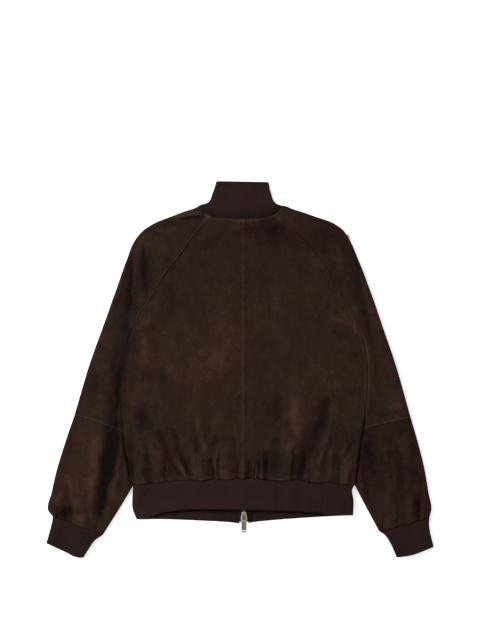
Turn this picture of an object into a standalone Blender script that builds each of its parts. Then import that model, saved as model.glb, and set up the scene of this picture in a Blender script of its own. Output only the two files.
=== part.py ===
"""Suede blouson with raglan sleeves and rib trims, laid flat with its back side up.

Lengths in the tables are millimetres; +X runs to the right of the garment as it lies, +Y to
its collar and +Z up.  The origin is the centre of its footprint on the surface it lies on.
Every cloth piece is a wall between two grids of points: an outer one on the face of the cloth
and an inner one behind it.  Rolls at the folds and side seams join the upper and lower layers.
"""

import math

import bmesh
import bpy
import numpy as np

MM = 0.001

# Driving sizes, in millimetres
SUEDE = 1.8          # thickness of a suede wall
RIB = 3.0            # thickness of a rib-knit wall
SEAM = 0.3           # gap left between two pieces at a seam
LOFT = 7.2           # height of the upper layer over most of the garment
LOW_LOFT = 5.9       # lowest the upper layer of the body comes to over the zip
HIDDEN_SLEEVE = 4.4  # height of the sleeve where the body lies on it
BODY_LIFT = 4.8      # how far the body is raised where it lies on the sleeve
RIB_LOFT = 9.6       # height of the upper layer of the hem band
BAND_OVER_ZIP = 0.9  # extra height of the hem band over the zip
CUFF_LOFT = 8.0      # height of the cuffs
RIB_HEIGHT = 0.9     # how far a rib stands proud
RIB_PITCH = 5.0      # width of one rib
CENTRE = 9.0         # x of the zip and of the centre-back seam
ZIP_SLOT = 6.0       # half the width between the two front edges
ZIP_FLARE = 3.7      # what each edge opens by at the two ends of the zip
FLARE_LOW = -288.0   # where the edges start to open towards the hem
FLARE_HIGH = 308.0   # where they start to open towards the collar's top
FOLD_ROLL = 9.0      # plan width of the roll at a fold, on the upper layer
UNDER_ROLL = 4.0     # the same on the lower layer
SEAM_ROLL = 5.0      # plan width of the roll at a side or underarm seam
SWAP = 39.0          # length below the underarm over which body and sleeve change levels
LIFT_START = 64.0    # how far inside the sleeve's edge the body starts to rise over it
LIFT_RUN = 40.0      # width of that rise
LIFT_SHARE = 0.46    # share of the lift that the upper layer takes up
SHOWN_MARGIN = 6.0   # how far the sleeve stays low outside the edge of the body
SHOWN_RUN = 14.0     # width over which it then rises to its own height
LEVEL_RUN = 26.0     # length below the underarm over which the levels change
COLLAR_FALL = (372.0, 22.0)  # height y below which the collar has its full loft, and the run to it
SWAP_ROWS = 3
RAGLAN_ROWS = 9
BODY_ROWS = [0.07, 0.17, 0.35, 0.54, 0.68, 0.79, 0.88, 0.94, 1.0]  # shares of the side below that

# Seams across the garment, as points (x, y) from left to right
NECK_BACK = [(-87, 348), (-84.5, 344.8), (-73, 336), (-60, 330), (-33, 326), (9, 324), (51, 327),
             (76, 335), (87.8, 345.7), (90, 349)]
NECK_FRONT = [(-87, 348), (-84.5, 344.8), (-75, 323), (-53, 293), (-25, 271), (9, 263), (42, 271),
              (66, 293), (80, 323), (87.8, 345.7), (90, 349)]
HEM_BACK = [(-230, -249), (-193, -246), (-85, -241), (9, -237), (131, -243), (248, -249)]
HEM_FRONT = [(-230, -249), (-150, -256), (9, -262), (160, -256), (248, -249)]
BAND_BACK = [(-222, -324), (-200, -320), (-175, -312), (-123, -304), (12, -304), (134, -308),
             (192, -313), (244, -315)]
BAND_FRONT = [(-222, -324), (-162, -324), (-84, -327), (-27, -330), (9, -333), (31, -330),
              (95, -324), (153, -320), (244, -315)]
COLLAR_BACK = [(-50, 405), (9, 404), (62, 403)]
COLLAR_FRONT = [(-50, 405), (-31, 373), (-12, 356), (9, 350), (26, 356), (43, 373), (62, 403)]

# Lines down each side of the garment, as points (x, y) from top to bottom
SIDES = {
    "left": {
        "sign": -1,
        "neck_raglan_x": -63.0,
        "front_raglan_x": -75.0,
        "back_raglan": [(-92, 305), (-129, 254), (-159, 217), (-192, 163), (-204, 142),
                        (-222, 120), (-228, 96)],
        "front_raglan": [(-100, 290), (-135, 238), (-172, 180), (-207, 126), (-228, 96)],
        "side": [(-228, 96), (-242, 51), (-249, 6), (-253, -44), (-253, -92), (-249, -139),
                 (-245, -172), (-238, -210), (-230, -249)],
        "band": [(-230, -249), (-231, -273), (-231, -299), (-222, -324)],
        "underarm": [(-215, 8), (-196, -57), (-189, -110), (-190, -150)],
        "elbow": [(-190, -150), (-269, -130), (-291, -121), (-325, -108), (-357, -101)],
        "forearm": [(-190, -150), (-198, -187), (-219, -232), (-235, -260), (-262, -305),
                    (-295, -357)],
        "overarm": [(-87, 348), (-109, 343), (-145, 330), (-192, 310), (-208, 299), (-226, 278),
                    (-244, 235), (-267, 170), (-298, 83), (-321, 19), (-357, -101)],
        "overarm_low": [(-357, -101), (-375, -154), (-395, -219), (-406, -267), (-413, -305),
                        (-403, -318)],
        "cuff_seam": [(-295, -357), (-322, -348), (-351, -337), (-378, -326), (-403, -318)],
        "cuff_end": [(-337, -406), (-347, -406), (-380, -392), (-417, -375)],
        "cuff_inner": [(-295, -357), (-311, -368), (-327, -390), (-337, -406)],
        "cuff_outer": [(-403, -318), (-405, -331), (-410, -351), (-417, -375)],
        "collar": [(-87, 348), (-69, 358), (-62, 365), (-56, 385), (-50, 405)],
    },
    "right": {
        "sign": 1,
        "neck_raglan_x": 76.0,
        "front_raglan_x": 80.0,
        "back_raglan": [(100, 311), (131, 278), (161, 241), (182, 214), (203, 178), (221, 145),
                        (243, 111), (256, 86)],
        "front_raglan": [(103, 292), (140, 244), (180, 188), (220, 126), (256, 86)],
        "side": [(256, 86), (265, 57), (272, 14), (273, -35), (269, -85), (264, -133),
                 (257, -172), (253, -210), (248, -249)],
        "band": [(248, -249), (243, -256), (245, -284), (244, -315)],
        "underarm": [(228, 2), (209, -60), (200, -110), (198, -150)],
        "elbow": [(198, -150), (270, -128), (316, -117), (339, -111), (369, -106)],
        "forearm": [(198, -150), (203, -180), (222, -212), (247, -249), (263, -280), (300, -349)],
        "overarm": [(90, 349), (119, 343), (159, 330), (209, 310), (223, 299), (237, 278),
                    (256, 235), (281, 170), (311, 83), (333, 19), (369, -106)],
        "overarm_low": [(369, -106), (383, -154), (399, -219), (407, -267), (413, -303),
                        (409, -320)],
        "cuff_seam": [(300, -349), (329, -344), (357, -337), (383, -329), (409, -320)],
        "cuff_end": [(338, -406), (370, -401), (418, -383)],
        "cuff_inner": [(300, -349), (312, -357), (324, -375), (338, -406)],
        "cuff_outer": [(409, -320), (408, -331), (413, -364), (418, -383)],
        "collar": [(90, 349), (81, 354), (74, 361), (68, 381), (62, 403)],
    },
}

# Folds of the upper layer: two ends, half width, and height (less than nothing for a valley)
FOLDS = [
    # x0,   y0,   x1,   y1, half_width, height
    (-5, 334, 23, 334, 44, 4.7),          # fullness at the back of the neck
    (-224, 278, -249, 148, 11, -2.6),     # long valley down the left sleeve
    (-249, 148, -262, 6, 11, -2.6),
    (-262, 6, -272, -139, 13, -2.9),
    (-272, -139, -303, -318, 13, -3.0),
    (-290, 60, -322, -120, 24, 3.2),      # ridge outside that valley
    (-338, -150, -368, -285, 24, 4.6),
    (-252, -170, -283, -300, 9, 2.6),     # ridge between the valley and the body
    (-222, 255, -226, 185, 8, 2.4),
    (-167, 322, -100, 322, 8, 2.2),       # tuck along the left shoulder
    (-165, 309, -105, 311, 7, -1.8),
    (-146, 181, -161, 83, 18, -1.3),
    (-128, 170, -140, 70, 16, 1.6),
    (-215, -109, -215, -139, 10, -1.6),
    (-157, -174, -129, -228, 7, -2.6),    # creases running down to the hem, left
    (-135, -159, -110, -218, 7, -2.6),
    (-100, -102, -79, -178, 9, -1.9),
    (-57, -168, -57, -228, 7, -2.4),
    (-205, -180, -204, -236, 15, 4.6),    # puffs over the hem seam
    (-172, -190, -166, -236, 12, 4.8),
    (-124, -200, -120, -232, 9, 3.6),
    (-86, -190, -80, -230, 11, 5.0),
    (-31, -180, -29, -228, 14, 5.2),
    (9, -200, 9, -226, 8, 3.0),
    (46, -208, 44, -230, 10, 3.4),
    (96, -110, 92, -226, 17, 5.0),
    (200, -95, 166, -222, 16, 4.6),
    (226, -185, 224, -232, 13, 4.6),
    (189, -64, 163, -120, 12, -2.2),      # long slanting fold on the right of the back
    (163, -120, 124, -218, 10, -4.2),
    (232, -154, 203, -212, 9, -2.6),
    (68, -57, 90, -126, 12, -1.4),
    (249, 235, 256, 148, 11, -2.4),       # right sleeve
    (274, 205, 300, 60, 22, 2.6),
    (318, 20, 345, -80, 22, 2.4),
    (335, -192, 338, -232, 11, -2.4),
    (385, -228, 388, -295, 10, -2.4),
    (358, -165, 366, -250, 14, 3.4),
    (368, -286, 366, -306, 12, 4.4),      # fullness over the cuffs
    (322, -300, 322, -328, 14, 3.8),
    (400, -250, 402, -296, 8, 3.0),
    (-388, -280, -386, -304, 13, 4.2),
    (-345, -296, -340, -322, 14, 4.4),
]

# Zip, in millimetres
TAPE = 0.8            # thickness of the tape
TAPE_REACH = 16.0     # how far each tape reaches from the centre
CHAIN_HALF = 3.0      # half the width of the teeth
CHAIN = 2.2           # thickness of the teeth
PLATE = 1.1           # thickness of a slider's plate
PLATE_GAP = 1.4       # from the middle of the teeth to a slider's plate
SLIDER_HALF = 7.2     # half the widest of a slider
SLIDER_LENGTH = 21.5
ZIP_IN_SLIDER = 5.2   # height of the middle of the teeth inside the sliders
ZIP_TOP = 349.0
ZIP_BOTTOM = -329.5
PIVOT_DROP = 3.4      # from the middle of the teeth down to a pull tab's axis
PULL_LENGTH = 33.0
PULL_HALF = 5.4
PULL = 1.0            # thickness of a pull tab
BAIL_HALF = 1.3       # half the width of the loop that a pull tab hangs in
BAIL_REACH = 1.7      # from a pull tab's axis to the inside of the loop's legs
BAIL_DEPTH = 0.8      # from that axis down to the inside of the loop
BAIL_WALL = 0.7


def smooth(value):
    """0 below 0, 1 above 1 and an S-shaped rise between them."""
    value = np.clip(value, 0.0, 1.0)
    return value * value * (3.0 - 2.0 * value)


def curve(points):
    """A function from 0..1 to points spaced evenly along a smooth line through the given ones."""
    points = np.array(points, float)
    steps = np.hypot(*np.diff(points, axis=0).T)
    knots = np.concatenate([[0.0], np.cumsum(steps)])
    if len(points) > 2:
        slopes = np.gradient(points, knots, axis=0)
    else:
        slopes = np.repeat((points[1:] - points[:1]) / knots[-1], 2, axis=0)
    dense = np.linspace(0.0, knots[-1], 40 * len(points))
    span = np.clip(np.searchsorted(knots, dense, side="right") - 1, 0, len(points) - 2)
    length = (knots[span + 1] - knots[span])[:, None]
    t = (dense[:, None] - knots[span][:, None]) / length
    line = ((2 * t ** 3 - 3 * t ** 2 + 1) * points[span]
            + (t ** 3 - 2 * t ** 2 + t) * length * slopes[span]
            + (3 * t ** 2 - 2 * t ** 3) * points[span + 1]
            + (t ** 3 - t ** 2) * length * slopes[span + 1])
    run = np.concatenate([[0.0], np.cumsum(np.hypot(*np.diff(line, axis=0).T))])
    run = run / run[-1]

    def at(fraction):
        fraction = np.asarray(fraction, float)
        x = np.interp(fraction, run, line[:, 0])
        y = np.interp(fraction, run, line[:, 1])
        return np.stack([x, y], axis=-1)

    return at


def part_of(line, start, end):
    """The stretch of a curve between two of its fractions, as a curve of its own."""
    def at(fraction):
        return line(start + (end - start) * np.asarray(fraction, float))

    return at


def where(line, value, axis=0):
    """The fraction of a curve at which its x (or y) reaches a value."""
    fractions = np.linspace(0.0, 1.0, 2001)
    along = line(fractions)[:, axis]
    order = np.argsort(along)
    return float(np.interp(value, along[order], fractions[order]))


def rows_by_height(line, heights):
    """Points of a falling curve at the given heights y."""
    fractions = np.linspace(0.0, 1.0, 2001)
    points = line(fractions)
    x = np.interp(heights, points[::-1, 1], points[::-1, 0])
    return np.stack([x, heights], axis=-1)


def lie(x, y):
    """Height of the upper layer with its folds, before it is raised over a sleeve."""
    height = np.full(np.shape(x), LOFT)
    for x0, y0, x1, y1, half_width, rise in FOLDS:
        dx = x1 - x0
        dy = y1 - y0
        t = np.clip(((x - x0) * dx + (y - y0) * dy) / (dx * dx + dy * dy), 0.0, 1.0)
        away = np.hypot(x - x0 - t * dx, y - y0 - t * dy)
        height = height + rise * np.exp(-(away / half_width) ** 2)
    return height


class Side:
    """The lines of the left or the right half, with the stations that its pieces share."""

    def __init__(self, name):
        table = SIDES[name]
        self.name = name
        self.sign = table["sign"]
        self.table = table
        neck = curve(NECK_BACK)
        front_neck = curve(NECK_FRONT)
        self.neck_end = 0.0 if self.sign < 0 else 1.0
        self.neck_raglan = where(neck, table["neck_raglan_x"])
        self.front_raglan_at = where(front_neck, table["front_raglan_x"])
        start = neck(self.neck_raglan)
        front_start = front_neck(self.front_raglan_at)
        stations = np.linspace(0, 1, RAGLAN_ROWS)
        self.raglan = curve([tuple(start)] + table["back_raglan"])(stations)
        self.front_raglan = curve([tuple(front_start)] + table["front_raglan"])(stations)
        self.underarm_y = table["side"][0][1]
        swap = self.underarm_y - np.linspace(0, SWAP, SWAP_ROWS + 1)
        hem_y = table["side"][-1][1]
        rest = swap[-1] + (hem_y - swap[-1]) * np.array(BODY_ROWS)
        self.side = rows_by_height(curve(table["side"]), np.concatenate([swap, rest]))
        beside = self.side[1:SWAP_ROWS + 1] + np.array([self.sign * 0.8, 0.0])
        self.underarm = np.concatenate([
            self.side[:1], beside,
            curve([tuple(beside[-1])] + table["underarm"])(np.linspace(0, 1, 7))[1:]])
        self.forearm = curve(table["forearm"])(np.linspace(0, 1, 8))

    def edge_x(self, y):
        """x of the edge of the body and the hem band at a height."""
        band = curve(self.table["band"])(np.linspace(0, 1, 12))[1:]
        edge = np.concatenate([self.side, band])
        return np.interp(y, edge[::-1, 1], edge[::-1, 0])

    def sleeve_x(self, y):
        """x of the inner edge of the sleeve at a height."""
        edge = np.concatenate([self.underarm, self.forearm[1:]])
        return np.interp(y, edge[::-1, 1], edge[::-1, 0])

    def lift(self, x, y):
        """How far the body is raised by the sleeve below it."""
        over = self.sign * (x - self.sleeve_x(y))
        below = smooth((self.underarm_y - y) / (LEVEL_RUN + SHOWN_MARGIN))
        return BODY_LIFT * smooth((over + LIFT_START) / LIFT_RUN) * below

    def sleeve_top(self, x, y):
        """Height of the upper layer of the sleeve, low where the body lies on it."""
        free = np.maximum(lie(x, y), HIDDEN_SLEEVE)
        past = self.sign * (x - self.edge_x(y))
        low = HIDDEN_SLEEVE + (free - HIDDEN_SLEEVE) * smooth((past - SHOWN_MARGIN) / SHOWN_RUN)
        below = smooth((self.underarm_y - y) / LEVEL_RUN)
        return free + (low - free) * below


LEFT = Side("left")
RIGHT = Side("right")


def lift(x, y):
    """How far the body is raised, by whichever sleeve is nearer."""
    return np.where(x < CENTRE, LEFT.lift(x, y), RIGHT.lift(x, y))


def body_top(x, y):
    """Height of the upper layer of the body."""
    raised = lift(x, y)
    height = np.maximum(lie(x, y) + LIFT_SHARE * raised, 2 * SUEDE + raised + SEAM)
    return np.maximum(height, LOW_LOFT)


def band_top(x, y):
    """Height of the upper layer of the hem band."""
    over_zip = BAND_OVER_ZIP * np.exp(-((x - CENTRE) / TAPE_REACH) ** 2)
    return np.maximum(RIB_LOFT + over_zip, 2 * RIB + lift(x, y) + 2 * SEAM)


def collar_top(x, y):
    """Height of the upper layer of the collar, which falls to its top edge."""
    fall = smooth((COLLAR_FALL[0] - y) / COLLAR_FALL[1])
    return LOFT + (lie(x, y) - LOFT) * fall


def ground(x, y):
    """Underside of what rests on the surface."""
    return np.zeros(np.shape(x))


def roll(radius, wall, amount, steps):
    """Across a rounded edge: outer distance, inner distance and share of the half height."""
    angle = np.linspace(0.0, math.pi / 2, steps + 1)[None, :]
    outer = radius * (1 - np.cos(angle)) + 0 * amount
    inner = outer + amount * wall * np.cos(angle)
    share = 1 - amount * (1 - np.sin(angle))
    return outer, inner, share


def layer(first, last, left, right, wall, flat, left_roll=None, right_roll=None, steps=2):
    """Plan points of one layer of cloth, as outer points, inner points and height shares.

    first and last are the curves of the end rows; left and right hold a point for each row.
    flat spaces the columns between the rolls, from 0 to 1, alike or for each row.  A roll is
    its radius and, for each row, 1 where the edge is rolled and 0 where it is flat.
    """
    rows = len(left)
    width = np.hypot(*(right - left).T)[:, None]
    run = np.concatenate([[0.0], np.cumsum(np.hypot(*np.diff(left, axis=0).T)
                                           + np.hypot(*np.diff(right, axis=0).T))])
    v = (run / run[-1])[:, None]
    if isinstance(flat, int):
        flat = np.linspace(0.0, 1.0, flat + 1)[None, :]
    start = np.zeros((rows, 1))
    end = width
    groups = []
    if left_roll:
        groups.append(roll(left_roll[0], wall, left_roll[1], steps))
        start = start + left_roll[0]
    if right_roll:
        end = end - right_roll[0]
    middle = start + (end - start) * flat
    middle = middle[:, 1 if left_roll else 0:-1 if right_roll else None]
    groups.append((middle, middle, np.ones_like(middle)))
    if right_roll:
        outer, inner, share = roll(right_roll[0], wall, right_roll[1], steps)
        groups.append((width - outer[:, ::-1], width - inner[:, ::-1], share[:, ::-1]))
    share = np.concatenate([group[2] for group in groups], axis=1)
    plans = []
    for index in (0, 1):
        f = np.concatenate([group[index] for group in groups], axis=1) / width
        plans.append(patch(first, last, left, right, v, f))
    return plans[0], plans[1], share


def patch(first, last, left, right, v, f):
    """Points inside four border lines; v runs down the rows and f across them."""
    v = v[..., None]
    f3 = f[..., None]
    ruled = (1 - v) * first(f) + v * last(f) + (1 - f3) * left[:, None] + f3 * right[:, None]
    corners = ((1 - v) * ((1 - f3) * first(0.0) + f3 * first(1.0))
               + v * ((1 - f3) * last(0.0) + f3 * last(1.0)))
    return ruled - corners


def seam_shift(edge, beside):
    """Moves from a seam's points towards the next line of points, half a seam gap square to it."""
    along = np.gradient(edge, axis=0)
    normal = np.stack([-along[:, 1], along[:, 0]], axis=-1)
    normal = normal / np.maximum(np.hypot(*normal.T)[:, None], 1e-9)
    inward = beside - edge
    inward = inward / np.maximum(np.hypot(*inward.T)[:, None], 1e-9)
    square = np.maximum(np.abs((inward * normal).sum(axis=1)), 0.45)[:, None]
    return inward * SEAM / 2 / square


def inset(outer, inner, first=True, last=True, left=None, right=None):
    """Draws a layer's borders in from its seams; left and right are 0..1 for each row."""
    outer_in = outer.copy()
    inner_in = inner.copy()
    moves = []
    if first:
        moves.append((np.s_[0, :], seam_shift(outer[0], outer[1])))
    if last:
        moves.append((np.s_[-1, :], seam_shift(outer[-1], outer[-2])))
    if left is not None:
        moves.append((np.s_[:, 0], seam_shift(outer[:, 0], outer[:, 1]) * left[:, None]))
    if right is not None:
        moves.append((np.s_[:, -1], seam_shift(outer[:, -1], outer[:, -2]) * right[:, None]))
    for place, move in moves:
        outer_in[place] += move
        inner_in[place] += move
    return outer_in, inner_in


def raise_layer(outer, inner, share, wall, face, seat, upper, gap):
    """Heights for a layer's points; a rolled edge comes down (or up) to the middle height."""
    middle = np.empty(share.shape)
    half = share.shape[1] // 2
    for columns, edge in ((np.s_[:, :half], 0), (np.s_[:, half:], -1)):
        x = outer[:, edge, 0]
        y = outer[:, edge, 1]
        middle[columns] = ((face(x, y) + seat(x, y)) / 2)[:, None]
    sign = 1.0 if upper else -1.0
    middle = middle + sign * gap
    cloth = face if upper else seat
    outer_z = middle + (cloth(outer[..., 0], outer[..., 1]) - middle) * share
    inner_z = middle + (cloth(inner[..., 0], inner[..., 1]) - sign * wall - middle) * share
    return np.dstack([outer, outer_z]), np.dstack([inner, inner_z])


def add_ribs(points, start, count):
    """Raises every second line of points across an upper layer."""
    points[:, start + 1:start + 2 * count:2, 2] += RIB_HEIGHT


def material(name, colour, roughness, metallic):
    made = bpy.data.materials.new(name)
    made.use_nodes = True
    shader = made.node_tree.nodes["Principled BSDF"]
    shader.inputs["Base Color"].default_value = (*colour, 1.0)
    shader.inputs["Roughness"].default_value = roughness
    shader.inputs["Metallic"].default_value = metallic
    return made


def place(name, mesh, collection, root, cloth, origin=None):
    """Puts a mesh into the collection, with its own origin and parent."""
    if origin is None:
        corners = np.array([vertex.co for vertex in mesh.vertices])
        origin = (corners.min(axis=0) + corners.max(axis=0)) / 2
        origin[2] = 0.0
    for vertex in mesh.vertices:
        vertex.co = np.array(vertex.co) - origin
    mesh.materials.clear()
    mesh.materials.append(material(name, *cloth))
    mesh.shade_smooth()
    mesh.set_sharp_from_angle(angle=math.radians(40))
    made = bpy.data.objects.new(name, mesh)
    made.location = origin
    made.parent = root
    collection.objects.link(made)
    return made


def wall_mesh(name, outer, inner):
    """One closed wall between a grid of outer points and a grid of inner ones."""
    rows, columns = outer.shape[:2]
    count = rows * columns
    index = np.arange(count).reshape(rows, columns)
    faces = []
    for grid in (index, index + count):
        quads = np.stack([grid[:-1, :-1], grid[:-1, 1:], grid[1:, 1:], grid[1:, :-1]], axis=-1)
        faces += quads.reshape(-1, 4).tolist()
    loop = np.concatenate([index[0, :-1], index[:-1, -1], index[-1, :0:-1], index[:0:-1, 0]])
    ahead = np.roll(loop, -1)
    faces += np.stack([loop, ahead, ahead + count, loop + count], axis=-1).tolist()
    points = np.concatenate([outer.reshape(-1, 3), inner.reshape(-1, 3)]) * MM
    mesh = bpy.data.meshes.new(name)
    mesh.from_pydata(points.tolist(), [], faces)
    shape = bmesh.new()
    shape.from_mesh(mesh)
    bmesh.ops.recalc_face_normals(shape, faces=shape.faces)
    shape.to_mesh(mesh)
    shape.free()
    return mesh


def join_layers(*layers):
    """Joins layers across, each sharing its first line of points with the one before."""
    outer = [layers[0][0]]
    inner = [layers[0][1]]
    for points, behind in layers[1:]:
        outer.append(points[:, 1:])
        inner.append(behind[:, 1:])
    return np.concatenate(outer, axis=1), np.concatenate(inner, axis=1)


def zip_edge(heights, sign):
    """Edge of a front beside the zip, which opens out towards both ends."""
    low = smooth((heights - FLARE_LOW) / (ZIP_BOTTOM - FLARE_LOW))
    high = smooth((heights - FLARE_HIGH) / (ZIP_TOP - FLARE_HIGH))
    x = CENTRE + sign * (ZIP_SLOT + ZIP_FLARE * (low + high))
    return np.stack([x, heights], axis=-1)


def body_rows(top_y, side_line, bottom_y):
    """Heights along the centre that keep pace with the stations down a side."""
    share = (side_line[:, 1] - side_line[0, 1]) / (side_line[-1, 1] - side_line[0, 1])
    return top_y + (bottom_y - top_y) * share


def rolled_rows(count, flat_rows):
    """For each row, how far its edge is rolled: not at all along the raglan seam, then fully."""
    return np.clip((np.arange(count) - flat_rows + 1) / 2.0, 0.0, 1.0)[:, None]


def back_panel(side):
    neck = curve(NECK_BACK)
    hem = curve(HEM_BACK)
    outline = np.concatenate([side.raglan, side.side[1:]])
    rolled = rolled_rows(len(outline), len(side.raglan))
    neck_middle = where(neck, CENTRE)
    hem_middle = where(hem, CENTRE)
    heights = body_rows(neck(neck_middle)[1], outline, hem(hem_middle)[1])
    centre = np.stack([np.full(len(heights), CENTRE), heights], axis=-1)
    plan = layer(part_of(neck, neck_middle, side.neck_raglan),
                 part_of(hem, hem_middle, 1.0 if side.sign > 0 else 0.0),
                 centre, outline, SUEDE, 17, right_roll=(SEAM_ROLL, rolled))
    flat = 1.0 - rolled[:, 0]
    outer, inner = inset(plan[0], plan[1], left=np.ones(len(outline)), right=flat)
    return raise_layer(outer, inner, plan[2], SUEDE, body_top, lift, True, SEAM / 2 * rolled)


def front_panel(side):
    neck = curve(NECK_FRONT)
    hem = curve(HEM_FRONT)
    outline = np.concatenate([side.front_raglan, side.side[1:]])
    rolled = rolled_rows(len(outline), len(side.front_raglan))
    edge_x = CENTRE + side.sign * ZIP_SLOT
    neck_at = where(neck, edge_x)
    hem_at = where(hem, edge_x)
    heights = body_rows(neck(neck_at)[1], outline, hem(hem_at)[1])
    edge = zip_edge(heights, side.sign)
    plan = layer(part_of(neck, neck_at, side.front_raglan_at),
                 part_of(hem, hem_at, 1.0 if side.sign > 0 else 0.0),
                 edge, outline, SUEDE, 8, right_roll=(UNDER_ROLL, rolled))
    flat = 1.0 - rolled[:, 0]
    outer, inner = inset(plan[0], plan[1], right=flat)
    return raise_layer(outer, inner, plan[2], SUEDE, body_top, lift, False, SEAM / 2 * rolled)


def sleeve(side, rows_top, rows_under, overarm, first_top, first_under, last, raglan_rows):
    """A sleeve panel that runs from its inner edge over the fold of the overarm and back below."""
    rolled = rolled_rows(len(rows_top), raglan_rows)
    if not raglan_rows:
        rolled = np.ones_like(rolled)
    whole = np.ones_like(rolled)
    top = layer(first_top, last, rows_top, overarm, SUEDE, sleeve_columns(side, rows_top, overarm),
                left_roll=(SEAM_ROLL, rolled), right_roll=(FOLD_ROLL, whole), steps=3)
    under = layer(first_under, last, rows_under, overarm, SUEDE, 4,
                  left_roll=(UNDER_ROLL, rolled), right_roll=(UNDER_ROLL, whole))
    flat = 1.0 - rolled[:, 0]
    outer, inner = inset(top[0], top[1], left=flat)
    above = raise_layer(outer, inner, top[2], SUEDE, side.sleeve_top, ground, True,
                        half_gap(top[2], rolled))
    outer, inner = inset(under[0], under[1], left=flat)
    below = raise_layer(outer, inner, under[2], SUEDE, side.sleeve_top, ground, False,
                        half_gap(under[2], rolled))
    return join_layers(above, (below[0][:, ::-1], below[1][:, ::-1]))


def sleeve_columns(side, rows_top, overarm):
    """Spacing of a sleeve's columns, with one at the body's edge and one just outside it."""
    share = np.linspace(0.0, 1.0, 201)[:, None, None]
    points = rows_top[None] + (overarm - rows_top)[None] * share
    covered = side.sign * (points[..., 0] - side.edge_x(points[..., 1])) < SHOWN_MARGIN
    width = np.hypot(*(overarm - rows_top).T)
    span = width - SEAM_ROLL - FOLD_ROLL
    edge = (covered.sum(axis=0) / 200.0 * width - SEAM_ROLL) / span
    edge = np.clip(edge, np.where(rows_top[:, 1] > side.underarm_y - 1.0, 0.2, 0.04), 0.6)
    beyond = np.clip(edge + 14.0 / span, edge + 0.08, 0.75)
    columns = [0.0 * edge, edge / 2, edge, beyond]
    columns += [beyond + (1.0 - beyond) * step / 5 for step in range(1, 6)]
    return np.stack(columns, axis=1)


def half_gap(share, rolled):
    """Half a seam gap in height for the rolled columns of the inner edge, nothing at the fold."""
    gap = np.zeros(share.shape)
    gap[:, :share.shape[1] // 2] = SEAM / 2
    return gap * rolled


def upper_sleeve(side):
    neck = curve(NECK_BACK)
    front_neck = curve(NECK_FRONT)
    rows_top = np.concatenate([side.raglan, side.underarm[1:]])
    rows_under = np.concatenate([side.front_raglan, side.underarm[1:]])
    overarm = curve(side.table["overarm"])
    fractions = np.linspace(0.0, 1.0, 401)
    axis = overarm(1.0) - overarm(0.6)
    axis = axis / np.hypot(*axis)
    abreast = float(np.interp(side.raglan[-1] @ axis, overarm(fractions) @ axis, fractions))
    below = (side.underarm - side.raglan[-1]) @ axis
    share = np.concatenate([abreast * np.linspace(0, 1, len(side.raglan)),
                            abreast + (1.0 - abreast) * below[1:] / below[-1]])
    return sleeve(side, rows_top, rows_under, overarm(share),
                  part_of(neck, side.neck_raglan, side.neck_end),
                  part_of(front_neck, side.front_raglan_at, side.neck_end),
                  curve(side.table["elbow"]), len(side.raglan))


def lower_sleeve(side):
    elbow = curve(side.table["elbow"])
    overarm = curve(side.table["overarm_low"])(np.linspace(0, 1, len(side.forearm)))
    return sleeve(side, side.forearm, side.forearm, overarm, elbow, elbow,
                  curve(side.table["cuff_seam"]), 0)


def cuff(side):
    rows = np.array([0.0, 0.3, 0.65, 1.0])
    inner_edge = curve(side.table["cuff_inner"])(rows)
    outer_edge = curve(side.table["cuff_outer"])(rows)
    first = curve(side.table["cuff_seam"])
    last = curve(side.table["cuff_end"])
    whole = np.ones((len(rows), 1))
    count = int(round(np.hypot(*(outer_edge[1] - inner_edge[1])) / RIB_PITCH)) - 3

    def face(x, y):
        return np.full(np.shape(x), CUFF_LOFT)

    top = layer(first, last, inner_edge, outer_edge, RIB, 2 * count,
                left_roll=(SEAM_ROLL, whole), right_roll=(FOLD_ROLL, whole))
    outer, inner = inset(top[0], top[1], last=False)
    above = raise_layer(outer, inner, top[2], RIB, face, ground, True, half_gap(top[2], whole))
    add_ribs(above[0], 2, count)
    under = layer(first, last, inner_edge, outer_edge, RIB, 4,
                  left_roll=(UNDER_ROLL, whole), right_roll=(UNDER_ROLL, whole))
    outer, inner = inset(under[0], under[1], last=False)
    below = raise_layer(outer, inner, under[2], RIB, face, ground, False,
                        half_gap(under[2], whole))
    return join_layers(above, (below[0][:, ::-1], below[1][:, ::-1]))


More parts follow.
